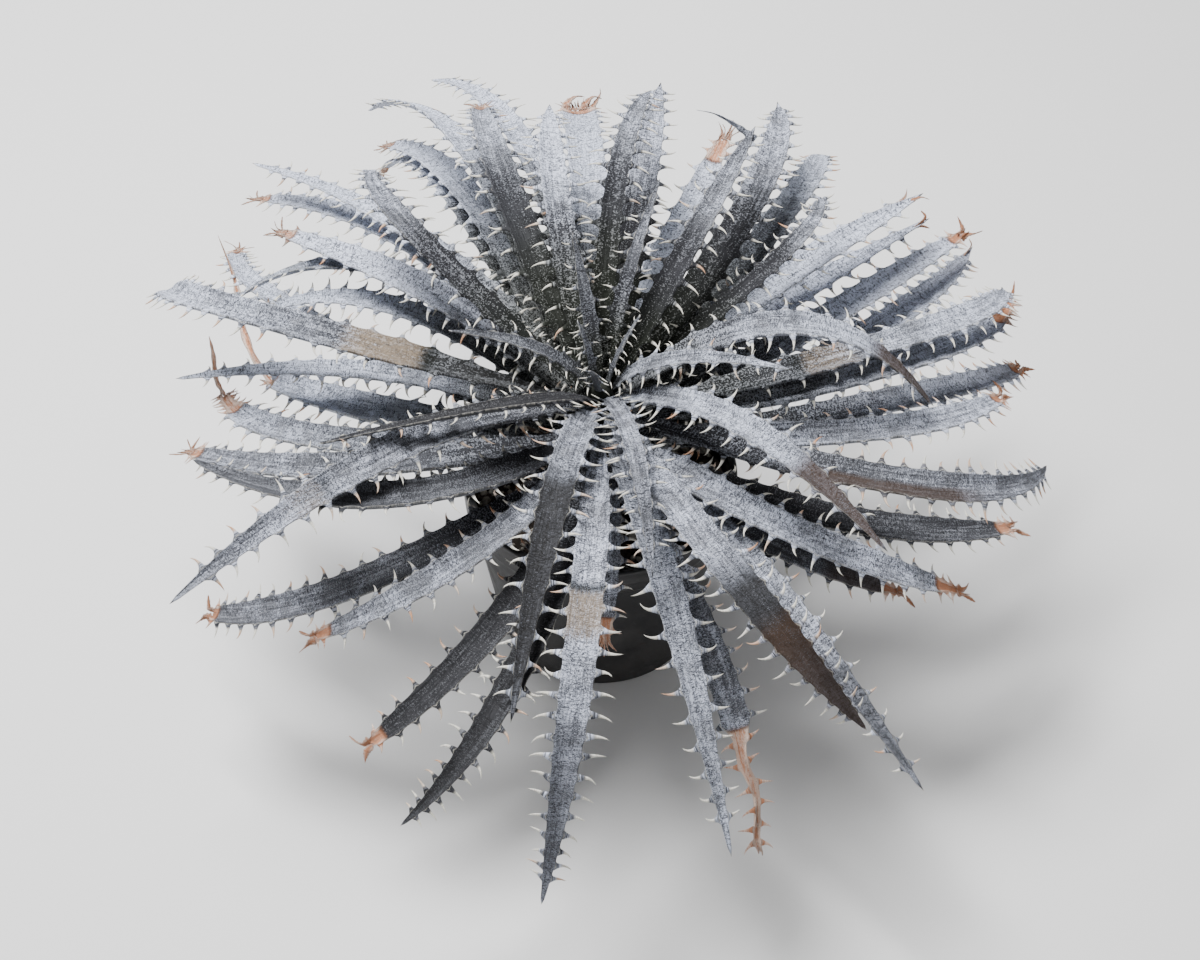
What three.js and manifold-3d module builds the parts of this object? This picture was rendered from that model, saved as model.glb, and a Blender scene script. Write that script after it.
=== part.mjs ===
// A silver-grey dyckia: a dense rosette of stiff, channelled leaves with hooked spines along both
// margins, on a short stem in a plain black nursery pot of soil.
// Millimetres, +Z up. The origin is the middle of the pot's underside.

import * as THREE from 'three';
import { mergeVertices } from 'three/addons/utils/BufferGeometryUtils.js';
import Module from 'manifold-3d';

// ---------------------------------------------------------------- driving dimensions

const FIT_GAP = 0.3;

// A nursery pot: a tapered wall with a wider band below its rim, and holes round its foot.
const POT = {
  height: 94,
  rimRadius: 60,
  footRadius: 45,
  wall: 1.6,
  floor: 2.4,
  bandHeight: 13,
  bandStep: 2.2,
  footRound: 1.5,
  rimRound: 1.1,
  sides: 40,
};
const DRAIN = { count: 6, radius: 4, circle: 30, sides: 8 };

const SOIL = { top: 83, shoulder: 3, relief: 1.8, rings: 5, sides: 28, seed: 11 };

// The stem stands in the soil, swells to where the lowest leaf grows, and narrows to its tip.
const STEM = { foot: 66, tip: 147, footRadius: 12, tipRadius: 2.4, sides: 16 };
const TOP_LEAF = { height: 145, radius: 4.6 };
const BOTTOM_LEAF = { height: 103, radius: 15.6 };

// A blade's section, for a leaf of this width: both margins stand above the channel, and the keel
// hangs below it. Narrow leaves keep at least the last two: a margin thickness and a depth share.
const SECTION = {
  width: 12,
  marginRise: 1.5,
  marginThick: 1.1,
  channel: -0.3,
  keel: 3.0,
  leastThick: 0.7,
  leastDepth: 0.3,
};

// A leaf is narrow at its foot, full width from openBy to closeFrom, and narrows to its end.
const BASE_WIDTH = { inner: 3.0, outer: 7.2 };
const TAPER = { openBy: 0.24, closeFrom: 0.5 };
// Ways to end: the share of the width that is left, the power of the narrowing (more is later),
// and how far the last corner stands past the end, in end widths: a dried end has a notch.
const ENDINGS = {
  point: { width: 0.12, power: 1.7, apex: 2.5 },
  late: { width: 0.12, power: 3.2, apex: 2.5 },
  dry: { width: 0.42, power: 2.2, apex: -0.25 },
  stump: { width: 0.9, power: 2.2, apex: -0.12 },
};
const TWIST_FROM = 0.2;

// Spines point a little back towards the stem low on the leaf, and hook forwards near its tip.
const SPINE = {
  length: 7.2,
  base: 4.4,
  droop: 0.12,
  backAngle: -28,
  hookAngle: 52,
  footShare: 0.6,
  tipShare: 0.72,
  stagger: 0.12,
};
const SPINES_A_SIDE = { large: 11, middle: 9, small: 6 };
const BLADE_GAP = 0.7;

// The leaves, from the heart outwards. Each leaves the stem at a heading and a slope (degrees),
// lower on the stem than the one before it, and arches to its tip (mm).
// heading, slope, how far out it bends, tip, width, how it ends, size, twist (degrees)
const LEAVES = [
  [358, 58, 0.45, [76, -10, 165], 7, 'point', 'small', 0],
  [72, 62, 0.4, [25, 73, 195], 6, 'point', 'small', 0],
  [287, 41, 0.58, [20, -109, 153], 7.5, 'point', 'middle', 0],
  [240, 47, 0.4, [-111, -40, 153], 8.5, 'point', 'middle', 0],
  [88, 56, 0.75, [22, 132, 198], 9, 'late', 'middle', 0],
  [49, 41, 0.48, [67, 112, 192], 10.5, 'late', 'middle', 0],
  [332, 38, 0.48, [110, -88, 145], 12.5, 'point', 'middle', 0],
  [256, 39, 0.48, [-33, -153, 123], 12.5, 'point', 'large', 0],
  [155, 35, 1.01, [-97, 87, 190], 11, 'point', 'middle', 0],
  [8, 44, 0.82, [139, 2, 135], 13.5, 'point', 'large', 0],
  [37, 14, 1.02, [95, 87, 175], 8, 'point', 'middle', 0],
  [108, 43, 0.6, [-23, 151, 175], 12, 'late', 'large', 0],
  [288, 21, 0.99, [101, -148, 108], 14, 'point', 'large', 25],
  [205, 30, 0.44, [-168, -92, 118], 14.5, 'point', 'large', -25],
  [171, 12, 1.03, [-188, 64, 142], 14.5, 'late', 'large', 0],
  [330, 7, 0.94, [191, -9, 105], 14.5, 'point', 'large', 20],
  [118, 36, 0.76, [-55, 156, 171], 13.5, 'dry', 'large', 0],
  [49, 21, 0.75, [82, 158, 170], 14.5, 'late', 'large', 0],
  [269, 22, 0.98, [-22, -198, 65], 13, 'point', 'large', 0],
  [78, 36, 0.5, [28, 176, 168], 13.5, 'late', 'large', 0],
  [284, 26, 0.5, [50, -180, 73], 13, 'point', 'large', 0],
  [148, 38, 0.42, [-140, 80, 161], 14.5, 'dry', 'large', 0],
  [14, 4, 0.95, [178, 68, 138], 13.5, 'late', 'large', 0],
  [264, 12, 0.93, [-76, -170, 75], 11.5, 'point', 'large', 0],
  [309, 9, 0.63, [151, -64, 88], 14.5, 'dry', 'large', 0],
  [136, 20, 0.84, [-166, 53, 139], 10, 'point', 'large', 35],
  [233, 17, 0.78, [-171, -11, 111], 15, 'point', 'large', 0],
  [99, 31, 0.7, [-80, 207, 149], 11, 'point', 'large', 0],
  [128, 28, 0.5, [-158, 141, 150], 10.5, 'point', 'large', 0],
  [2, 12, 0.85, [186, 80, 122], 14.5, 'dry', 'large', 0],
  [248, 9, 0.58, [-119, -82, 80], 12.5, 'dry', 'middle', 0],
  [210, 14, 0.73, [-178, 3, 103], 14, 'dry', 'large', 0],
  [147, 25, 0.75, [-154, 52, 135], 10, 'point', 'middle', 0],
  [53, 13, 0.3, [142, 111, 155], 15.5, 'late', 'large', 0],
  [312, 11, 0.35, [124, -156, 82], 13.5, 'point', 'large', 0],
  [348, 9, 0.77, [176, 28, 112], 14, 'dry', 'large', 0],
  [76, 22, 0.26, [59, 160, 152], 15.5, 'dry', 'large', 0],
  [112, 34, 0.8, [-110, 193, 142], 11, 'point', 'large', 40],
  [50, 18, 0.85, [104, 167, 135], 13.5, 'late', 'large', 0],
  [156, 14, 0.45, [-182, 31, 120], 11, 'point', 'middle', 0],
  [322, 8, 0.69, [178, -27, 87], 15, 'dry', 'large', 0],
  [191, 7, 0.89, [-166, 31, 111], 14, 'dry', 'middle', 0],
  [258, 7, 0.61, [-95, -127, 65], 13.5, 'dry', 'middle', 0],
  [313, 4, 0.62, [128, -58, 80], 11.5, 'dry', 'middle', 0],
  [45, 14, 0.35, [147, 112, 140], 13.5, 'point', 'middle', 0],
  [276, 8, 0.4, [2, -84, 80], 11, 'dry', 'small', 0],
  [161, 12, 0.94, [-166, 110, 125], 10, 'dry', 'middle', 0],
  [125, 24, 0.62, [-160, 139, 131], 11, 'dry', 'middle', 0],
  [32, 8, 0.5, [168, 118, 128], 14.5, 'dry', 'middle', 0],
  [226, 5, 0.84, [-167, -61, 70], 14.5, 'dry', 'large', 0],
  [112, 23, 0.79, [-102, 175, 134], 13, 'dry', 'large', 0],
  [173, 6, 0.68, [-148, 43, 108], 17, 'dry', 'middle', 0],
  [91, 30, 0.6, [-11, 210, 130], 18, 'stump', 'large', 0],
  [8, 6, 0.85, [189, 54, 104], 14, 'dry', 'large', 0],
  [293, 12, 0.72, [64, -170, 50], 12.5, 'dry', 'large', 0],
  [115, 21, 0.96, [-105, 180, 114], 13, 'dry', 'middle', 0],
  [27, 2, 0.74, [172, 120, 115], 14, 'late', 'middle', 0],
];

// The youngest leaves stand in the growing tip and are one with the stem.
const YOUNG_FOOT = { height: 144, radius: 1.8, width: 3 };
const YOUNG_LEAVES = [
  [102, 64, 0.45, [-11, 41, 192], 6, 'point', 'small', 0],
  [170, 58, 0.45, [-60, -1, 178], 6, 'point', 'small', 0],
  [130, 82, 0.5, [-9, 12, 171], 3.2, 'point', 'small', 0],
  [10, 80, 0.5, [16, 12, 174], 3.2, 'point', 'small', 0],
  [250, 80, 0.5, [-4, -14, 168], 3.2, 'point', 'small', 0],
];
const YOUNG_SPINES = 4;

// Dead bases of old leaves stand out below the living ones, and are one with the stem too.
const OLD_FOOT = { height: 93, radius: 10, width: 10 };
const OLD_BASES = { count: 7, turn: 137.5, slope: 4, reach: 33, rise: 89, uneven: 9, seed: 5 };
const OLD_SPINES = 1;

const FINISH = {
  leaf: { color: 0xb4b8bf, roughness: 0.78 },
  oldLeaf: { color: 0xa3a5a6, roughness: 0.8 },
  stem: { color: 0x8f8a78, roughness: 0.85 },
  soil: { color: 0x3a2c22, roughness: 0.95 },
  pot: { color: 0x17181a, roughness: 0.5 },
};

// ---------------------------------------------------------------- small helpers

const wasm = await Module();
wasm.setup();

const radians = THREE.MathUtils.degToRad;
const lerp = THREE.MathUtils.lerp;
const smooth = THREE.MathUtils.smoothstep;
const point = (x, y, z) => new THREE.Vector3(x, y, z);

function seededRandom(seed) {
  let state = seed;
  return () => {
    state = (state * 16807) % 2147483647;
    return state / 2147483647;
  };
}

function mergedByPosition(geometry) {
  const bare = geometry.clone();
  bare.deleteAttribute('normal');
  bare.deleteAttribute('uv');
  return mergeVertices(bare, 1e-4);
}

function toSolid(geometry) {
  const merged = mergedByPosition(geometry);
  return new wasm.Manifold(new wasm.Mesh({
    numProp: 3,
    vertProperties: new Float32Array(merged.attributes.position.array),
    triVerts: new Uint32Array(merged.index.array),
  }));
}

function toGeometry(solid) {
  const mesh = solid.getMesh();
  const geometry = new THREE.BufferGeometry();
  geometry.setAttribute('position', new THREE.BufferAttribute(mesh.vertProperties, 3));
  geometry.setIndex(new THREE.BufferAttribute(mesh.triVerts, 1));
  geometry.computeVertexNormals();
  return geometry;
}

function geometryOf(triangles) {
  const geometry = new THREE.BufferGeometry();
  const positions = triangles.flatMap((corner) => [corner.x, corner.y, corner.z]);
  geometry.setAttribute('position', new THREE.Float32BufferAttribute(positions, 3));
  const merged = mergeVertices(geometry, 1e-4);
  merged.computeVertexNormals();
  return merged;
}

// A lathe about Z. The profile runs from the foot on the axis, round the outside, to the axis.
function turned(profile, sides) {
  const geometry = new THREE.LatheGeometry(profile.map(([r, z]) => new THREE.Vector2(r, z)), sides);
  geometry.rotateX(Math.PI / 2);
  return geometry;
}

// ---------------------------------------------------------------- leaf shape

// Every leaf is an arch from the stem to its tip. Where leaves cross, the inner one lies on top:
// both give way along EASE, a slant upwards and a little to the front, until they are clear.
const EASE = point(0, -0.682, 0.731);
const PLAN_X = point(1, 0, 0);
const PLAN_Y = point(0, 0.731, 0.682);
const FRAME_STEPS = 40;

// Where a leaf leaves the stem, and how wide its foot may be there.
function footAt(down) {
  return {
    height: lerp(TOP_LEAF.height, BOTTOM_LEAF.height, down),
    radius: lerp(TOP_LEAF.radius, BOTTOM_LEAF.radius, down) + FIT_GAP,
    width: lerp(BASE_WIDTH.inner, BASE_WIDTH.outer, down),
  };
}

function makeLeaf([heading, slope, bendAt, tip, width, ending, size, twist], foot) {
  const baseWidth = Math.min(width, foot.width);
  const heel = SECTION.keel * baseWidth / SECTION.width * Math.sin(radians(slope));
  const outward = point(Math.cos(radians(heading)), Math.sin(radians(heading)), 0);
  const start = outward.clone().multiplyScalar(foot.radius + heel).setZ(foot.height);
  const end = point(...tip);
  const reach = start.distanceTo(end) * bendAt;
  const direction = outward.clone().multiplyScalar(Math.cos(radians(slope)))
    .setZ(Math.sin(radians(slope)));
  const bend = start.clone().addScaledVector(direction, reach);
  const up = outward.clone().multiplyScalar(-Math.sin(radians(slope)))
    .setZ(Math.cos(radians(slope)));
  const leaf = {
    start, bend, end, up, width, baseWidth, ending, twist,
    spines: SPINES_A_SIDE[size],
    midEase: 0,
    tipEase: 0,
  };
  layFrames(leaf);
  return leaf;
}

const midShare = (t) => 4 * t * (1 - t);
const tipShare = (t) => t * t;

function leafPoint(leaf, t) {
  const rest = 1 - t;
  return leaf.start.clone().multiplyScalar(rest * rest)
    .addScaledVector(leaf.bend, 2 * t * rest)
    .addScaledVector(leaf.end, t * t)
    .addScaledVector(EASE, leaf.midEase * midShare(t) + leaf.tipEase * tipShare(t));
}

function leafDirection(leaf, t) {
  const step = 1e-3;
  return leafPoint(leaf, t + step).sub(leafPoint(leaf, t - step)).normalize();
}

// The upper side is carried along the arch without spinning round it.
function layFrames(leaf) {
  let up = leaf.up.clone();
  leaf.ups = [];
  for (let i = 0; i <= FRAME_STEPS; i += 1) {
    const along = leafDirection(leaf, i / FRAME_STEPS);
    up = up.addScaledVector(along, -up.dot(along)).normalize();
    leaf.ups.push(up.clone());
  }
  leaf.length = 0;
  for (let i = 1; i <= FRAME_STEPS; i += 1) {
    const before = leafPoint(leaf, (i - 1) / FRAME_STEPS);
    leaf.length += before.distanceTo(leafPoint(leaf, i / FRAME_STEPS));
  }
}

function leafFrame(leaf, t) {
  const place = Math.min(t * FRAME_STEPS, FRAME_STEPS - 1e-6);
  const index = Math.floor(place);
  const along = leafDirection(leaf, t);
  const up = leaf.ups[index].clone().lerp(leaf.ups[index + 1], place - index);
  up.addScaledVector(along, -up.dot(along)).normalize();
  up.applyAxisAngle(along, radians(leaf.twist) * smooth(t, TWIST_FROM, 1));
  const across = along.clone().cross(up);
  return { at: leafPoint(leaf, t), along, up, across };
}

function leafWidth(leaf, t) {
  const opening = lerp(leaf.baseWidth / leaf.width, 1, smooth(t, 0, TAPER.openBy));
  const past = Math.max(0, (t - TAPER.closeFrom) / (1 - TAPER.closeFrom));
  const { width, power } = ENDINGS[leaf.ending];
  return leaf.width * opening * lerp(1, width, past ** power);
}

function sectionAt(leaf, t) {
  const frame = leafFrame(leaf, t);
  const width = leafWidth(leaf, t);
  const scale = width / SECTION.width;
  const rise = SECTION.marginRise * scale;
  const sink = SECTION.keel * Math.max(scale, SECTION.leastDepth);
  const thick = Math.max(SECTION.leastThick, SECTION.marginThick * Math.min(1, scale * 1.2));
  const onSide = (side, height, inset) => frame.at.clone()
    .addScaledVector(frame.across, side * (width / 2 - inset))
    .addScaledVector(frame.up, height);
  return {
    ...frame,
    width,
    top: rise,
    bottom: -sink,
    channel: frame.at.clone().addScaledVector(frame.up, SECTION.channel * scale),
    keel: frame.at.clone().addScaledVector(frame.up, -sink),
    upper: (side) => onSide(side, rise, 0),
    lower: (side) => onSide(side, rise - thick, 0.1),
  };
}

// ---------------------------------------------------------------- leaves laid clear of each other

// Blades are compared at this many places, from past the crowded foot on, where they pass within
// this distance (mm) of each other. In each round a pair gives way by a share of what it lacks.
const TOUCH = { steps: 32, from: 0.14, near: 5, rounds: 160, give: 0.3, leastFacing: 0.35 };

function leafSamples(leaf, owner) {
  const samples = [];
  for (let i = 0; i <= TOUCH.steps; i += 1) {
    const t = i / TOUCH.steps;
    if (t < TOUCH.from) continue;
    const section = sectionAt(leaf, t);
    const facing = Math.max(TOUCH.leastFacing, Math.abs(section.up.dot(EASE)));
    const lean = Math.sign(section.up.dot(EASE)) || 1;
    for (const side of [-1, 0, 1]) {
      const at = section.at.clone().addScaledVector(section.across, side * section.width / 2);
      samples.push({
        owner, t,
        x: at.dot(PLAN_X),
        y: at.dot(PLAN_Y),
        height: at.dot(EASE),
        slopeX: -lean * section.up.dot(PLAN_X) / facing,
        slopeY: -lean * section.up.dot(PLAN_Y) / facing,
        over: section.top / facing,
        under: -section.bottom / facing,
      });
    }
  }
  return samples;
}

function findContacts(leaves) {
  const samples = leaves.map(leafSamples);
  const contacts = [];
  for (let i = 0; i < leaves.length; i += 1) {
    for (let j = i + 1; j < leaves.length; j += 1) {
      for (const a of samples[i]) {
        for (const b of samples[j]) {
          const dx = a.x - b.x;
          const dy = a.y - b.y;
          if (dx * dx + dy * dy > TOUCH.near * TOUCH.near) continue;
          const height = b.height + b.slopeX * dx + b.slopeY * dy;
          contacts.push({ a, b, lack: height + b.over + a.under + BLADE_GAP - a.height });
        }
      }
    }
  }
  return contacts;
}

function easeApart(leaves) {
  const contacts = findContacts(leaves);
  const move = (leaf, t, amount) => {
    const mid = midShare(t);
    const tip = tipShare(t);
    const total = mid * mid + tip * tip;
    leaf.midEase += amount * mid / total;
    leaf.tipEase += amount * tip / total;
  };
  const eased = ({ owner, t }) => {
    const leaf = leaves[owner];
    return leaf.midEase * midShare(t) + leaf.tipEase * tipShare(t);
  };
  for (let round = 0; round < TOUCH.rounds; round += 1) {
    for (const { a, b, lack } of contacts) {
      const missing = lack - eased(a) + eased(b);
      if (missing > 0) {
        move(leaves[a.owner], a.t, missing * TOUCH.give / 2);
        move(leaves[b.owner], b.t, -missing * TOUCH.give / 2);
      }
    }
  }
  leaves.forEach(layFrames);
}

// ---------------------------------------------------------------- spines that miss their neighbours

// A leaf is taken as a row of slabs that lap over each other a little.
const SLAB = { steps: 22, lap: 0.7, margin: 0.5 };
const SPINE_GAP = 0.9;
const SPINE_STEPS = 6;
const SPINE_NEAR = 20;

function slabsOf(leaf) {
  return Array.from({ length: SLAB.steps + 1 }, (_, i) => {
    const section = sectionAt(leaf, i / SLAB.steps);
    return { ...section, halfLength: leaf.length / SLAB.steps * SLAB.lap };
  });
}

function insideSlab(slab, place) {
  const offset = place.clone().sub(slab.at);
  const reach = slab.halfLength + slab.width;
  if (offset.lengthSq() > reach * reach) return false;
  const height = offset.dot(slab.up);
  return Math.abs(offset.dot(slab.along)) < slab.halfLength
    && Math.abs(offset.dot(slab.across)) < slab.width / 2 + SLAB.margin
    && height < slab.top + SLAB.margin
    && height > slab.bottom - SLAB.margin;
}

function spinesCross(first, second) {
  if (first[0].distanceTo(second[0]) > SPINE_NEAR) return false;
  const line = new THREE.Line3(second[0], second[1]);
  for (let i = 1; i <= SPINE_STEPS; i += 1) {
    const place = first[0].clone().lerp(first[1], i / SPINE_STEPS);
    const nearest = line.closestPointToPoint(place, true, point(0, 0, 0));
    if (nearest.distanceTo(place) < SPINE_GAP) return true;
  }
  return false;
}

// A spine that would meet a neighbour is lifted, lowered or shortened: share of length, lift.
const SPINE_TRIES = [[1, 0], [1, 22], [1, -22], [0.85, 45], [0.85, -45], [0.6, 0], [0.6, 60], [0.4, 0]];

function spineDirection(section, t, side, lift) {
  const hook = radians(lerp(SPINE.backAngle, SPINE.hookAngle, smooth(t, 0.3, 0.95)));
  const rise = radians(lift);
  return section.across.clone().multiplyScalar(side * Math.cos(hook) * Math.cos(rise))
    .addScaledVector(section.along, Math.sin(hook) * Math.cos(rise))
    .addScaledVector(section.up, Math.sin(rise) - SPINE.droop);
}

function spineLength(leaf, t) {
  const nearFoot = lerp(SPINE.footShare, 1, smooth(t, 0, 0.2));
  const nearTip = lerp(1, SPINE.tipShare, smooth(t, 0.6, 1));
  const onNarrowLeaf = Math.min(1, 0.35 + leaf.width / 15);
  return SPINE.length * nearFoot * nearTip * onNarrowLeaf;
}

function spineTip(leaf, t, side, world) {
  const section = sectionAt(leaf, t);
  const root = section.upper(side).lerp(section.lower(side), 0.5);
  const size = spineLength(leaf, t);
  for (const [part, lift] of SPINE_TRIES) {
    const tip = root.clone().addScaledVector(spineDirection(section, t, side, lift), size * part);
    const line = [root.clone().lerp(tip, 0.1), tip];
    const nearOthers = world.leaves.some((other, index) => other !== leaf
      && [0.35, 0.6, 0.8, 1].some((s) => world.slabs[index]
        .some((slab) => insideSlab(slab, root.clone().lerp(tip, s)))));
    const nearSpines = world.spines.some((spine) => spine.leaf !== leaf
      && (spinesCross(line, spine.line) || spinesCross(spine.line, line)));
    if (!nearOthers && !nearSpines) {
      world.spines.push({ leaf, line });
      return tip;
    }
  }
  return null;
}

// ---------------------------------------------------------------- leaf mesh

// Along the channel and the keel there is one corner for each spine's stretch; along a margin
// there are two, where a spine's foot begins and ends.
function leafTriangles(leaf, world) {
  const triangles = [];
  const face = (side, ...corners) => triangles.push(...(side > 0 ? corners : corners.reverse()));
  const count = leaf.spines;
  const spineHalf = SPINE.base / 2 / leaf.length;
  const middles = Array.from({ length: count + 1 }, (_, i) => sectionAt(leaf, i / count));
  const first = middles[0];
  const last = middles[count];

  for (const side of [1, -1]) {
    let before = first;
    for (let i = 0; i < count; i += 1) {
      const centre = (i + 0.5 + side * SPINE.stagger) / count;
      const begin = sectionAt(leaf, centre - spineHalf);
      const finish = sectionAt(leaf, centre + spineHalf);
      const { channel, keel } = middles[i];
      face(side, channel, before.upper(side), begin.upper(side));
      face(side, channel, begin.upper(side), finish.upper(side));
      face(side, channel, finish.upper(side), middles[i + 1].channel);
      face(side, keel, begin.lower(side), before.lower(side));
      face(side, keel, finish.lower(side), begin.lower(side));
      face(side, keel, middles[i + 1].keel, finish.lower(side));
      face(side, before.upper(side), before.lower(side), begin.lower(side));
      face(side, before.upper(side), begin.lower(side), begin.upper(side));
      const rim = [begin.upper(side), begin.lower(side), finish.lower(side), finish.upper(side)];
      const tip = spineTip(leaf, centre, side, world);
      if (tip) {
        rim.forEach((corner, k) => face(side, corner, rim[(k + 1) % 4], tip));
      } else {
        face(side, rim[0], rim[1], rim[2]);
        face(side, rim[0], rim[2], rim[3]);
      }
      before = finish;
    }
    face(side, last.channel, before.upper(side), last.upper(side));
    face(side, last.keel, last.lower(side), before.lower(side));
    face(side, before.upper(side), before.lower(side), last.lower(side));
    face(side, before.upper(side), last.lower(side), last.upper(side));
    face(side, first.keel, first.lower(side), first.upper(side));
    face(side, first.keel, first.upper(side), first.channel);
  }

  const apex = last.at.clone().addScaledVector(last.along, last.width * ENDINGS[leaf.ending].apex);
  const ring = [last.channel, last.upper(1), last.lower(1), last.keel, last.lower(-1), last.upper(-1)];
  ring.forEach((corner, k) => triangles.push(corner, ring[(k + 1) % ring.length], apex));
  return triangles;
}

// ---------------------------------------------------------------- pot, soil and stem

const bandFoot = POT.height - POT.bandHeight;
const shoulderRadius = POT.rimRadius - POT.bandStep;
const potInside = (z) => lerp(POT.footRadius, shoulderRadius, z / bandFoot) - POT.wall;

function makePot() {
  let pot = toSolid(turned([
    [0, 0],
    [POT.footRadius - POT.footRound, 0],
    [POT.footRadius, POT.footRound],
    [shoulderRadius, bandFoot - 1],
    [POT.rimRadius - 0.6, bandFoot],
    [POT.rimRadius, POT.height - POT.rimRound],
    [POT.rimRadius - POT.rimRound, POT.height],
    [shoulderRadius - POT.wall, POT.height],
    [shoulderRadius - POT.wall, bandFoot - 2],
    [potInside(POT.floor), POT.floor],
    [0, POT.floor],
  ], POT.sides));
  for (let i = 0; i < DRAIN.count; i += 1) {
    const angle = (i + 0.5) / DRAIN.count * 2 * Math.PI;
    const drill = new THREE.CylinderGeometry(DRAIN.radius, DRAIN.radius, 4 * POT.floor, DRAIN.sides);
    drill.rotateX(Math.PI / 2);
    drill.translate(DRAIN.circle * Math.cos(angle), DRAIN.circle * Math.sin(angle), 0);
    pot = pot.subtract(toSolid(drill));
  }
  return toGeometry(pot);
}

function makeSoil() {
  const foot = POT.floor + FIT_GAP;
  const hole = STEM.footRadius + FIT_GAP;
  const shoulder = Math.min(SOIL.top - SOIL.shoulder, bandFoot - 2);
  const edge = potInside(shoulder) - FIT_GAP;
  const profile = [[0, foot], [potInside(foot) - FIT_GAP - 0.5, foot], [edge, shoulder]];
  for (let i = 0; i <= SOIL.rings; i += 1) {
    profile.push([lerp(edge - 1, hole, i / SOIL.rings), SOIL.top]);
  }
  profile.push([hole, STEM.foot - FIT_GAP], [0, STEM.foot - FIT_GAP]);
  const geometry = mergedByPosition(turned(profile, SOIL.sides));
  const random = seededRandom(SOIL.seed);
  const places = geometry.attributes.position;
  for (let i = 0; i < places.count; i += 1) {
    const onTop = Math.abs(places.getZ(i) - SOIL.top) < 0.01;
    if (onTop) places.setZ(i, SOIL.top + (random() - 0.5) * SOIL.relief);
  }
  geometry.computeVertexNormals();
  return geometry;
}

function makeStem(world) {
  const profile = [
    [0, STEM.foot],
    [STEM.footRadius, STEM.foot],
    [STEM.footRadius, SOIL.top + 1],
    [BOTTOM_LEAF.radius, BOTTOM_LEAF.height - 5],
    [BOTTOM_LEAF.radius, BOTTOM_LEAF.height],
    [TOP_LEAF.radius, TOP_LEAF.height],
    [STEM.tipRadius, STEM.tip],
    [0, STEM.tip + 0.6],
  ];
  let stem = toSolid(turned(profile, STEM.sides));
  const grow = (row, foot, spines) => {
    const leaf = makeLeaf(row, foot);
    leaf.spines = spines;
    stem = stem.add(toSolid(geometryOf(leafTriangles(leaf, world))));
  };
  YOUNG_LEAVES.forEach((row) => grow(row, YOUNG_FOOT, YOUNG_SPINES));
  const random = seededRandom(OLD_BASES.seed);
  for (let i = 0; i < OLD_BASES.count; i += 1) {
    const heading = i * OLD_BASES.turn;
    const reach = OLD_BASES.reach + (random() - 0.5) * OLD_BASES.uneven;
    const tip = [Math.cos(radians(heading)) * reach, Math.sin(radians(heading)) * reach, OLD_BASES.rise];
    const row = [heading, OLD_BASES.slope, 0.5, tip, OLD_FOOT.width, 'dry', 'small', 0];
    grow(row, OLD_FOOT, OLD_SPINES);
  }
  return toGeometry(stem);
}

// ---------------------------------------------------------------- the plant in its pot

const group = new THREE.Group();

function place(name, geometry, finish) {
  const mesh = new THREE.Mesh(geometry, new THREE.MeshStandardMaterial({ ...finish, metalness: 0 }));
  mesh.name = name;
  group.add(mesh);
}

const leaves = LEAVES.map((row, rank) => makeLeaf(row, footAt(rank / (LEAVES.length - 1))));
easeApart(leaves);
const world = { leaves, slabs: leaves.map(slabsOf), spines: [] };

place('pot', makePot(), FINISH.pot);
place('soil', makeSoil(), FINISH.soil);
place('stem', makeStem(world), FINISH.stem);
leaves.forEach((leaf, rank) => {
  const name = `leaf_${String(rank + 1).padStart(2, '0')}`;
  const finish = leaf.ending === 'dry' ? FINISH.oldLeaf : FINISH.leaf;
  place(name, geometryOf(leafTriangles(leaf, world)), finish);
});

export default group;
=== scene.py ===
import math

import bpy
import numpy as np
from bpy.props import FloatProperty, FloatVectorProperty, IntProperty, PointerProperty
from bpy.types import Operator, Panel, PropertyGroup
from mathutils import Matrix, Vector


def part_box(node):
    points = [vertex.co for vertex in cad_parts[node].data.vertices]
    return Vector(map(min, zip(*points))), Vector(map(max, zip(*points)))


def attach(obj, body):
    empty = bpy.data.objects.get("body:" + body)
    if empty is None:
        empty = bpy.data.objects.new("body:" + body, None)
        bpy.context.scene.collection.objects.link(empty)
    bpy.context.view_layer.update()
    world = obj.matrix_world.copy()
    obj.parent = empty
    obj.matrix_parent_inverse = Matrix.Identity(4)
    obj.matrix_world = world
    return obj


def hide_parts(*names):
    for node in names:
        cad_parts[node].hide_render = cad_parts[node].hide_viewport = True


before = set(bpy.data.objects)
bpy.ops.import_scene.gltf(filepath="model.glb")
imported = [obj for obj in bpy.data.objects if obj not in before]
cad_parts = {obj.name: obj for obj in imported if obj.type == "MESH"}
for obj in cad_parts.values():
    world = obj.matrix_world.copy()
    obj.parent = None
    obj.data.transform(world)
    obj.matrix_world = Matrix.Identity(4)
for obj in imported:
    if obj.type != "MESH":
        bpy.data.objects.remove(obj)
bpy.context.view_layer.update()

bl_info = {
    "name": "Silver dyckia in its pot",
    "version": (1, 0, 0),
    "blender": (4, 5, 0),
    "location": "3D View > Sidebar > Dyckia",
    "description": "Grows the fine leaves, stem, soil and pot of a silver dyckia round its solids",
    "category": "Object",
}

BODY = "root"

# The plant is worked out in millimetres, and turned to metres when a mesh is made.
MM = 0.001

# ------------------------------------------------------------------ the plant's own sizes (mm)

FIT_GAP = 0.3
TOP_LEAF = {"height": 145, "radius": 4.6}
BOTTOM_LEAF = {"height": 103, "radius": 15.6}
SECTION = {
    "width": 12,
    "margin_rise": 1.5,
    "margin_thick": 1.1,
    "channel": -0.3,
    "keel": 3.0,
    "least_thick": 0.7,
    "least_depth": 0.3,
    "thick_rate": 1.2,
}
BASE_WIDTH = {"inner": 3.0, "outer": 7.2}
TAPER = {"open_by": 0.24, "close_from": 0.5}
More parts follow.
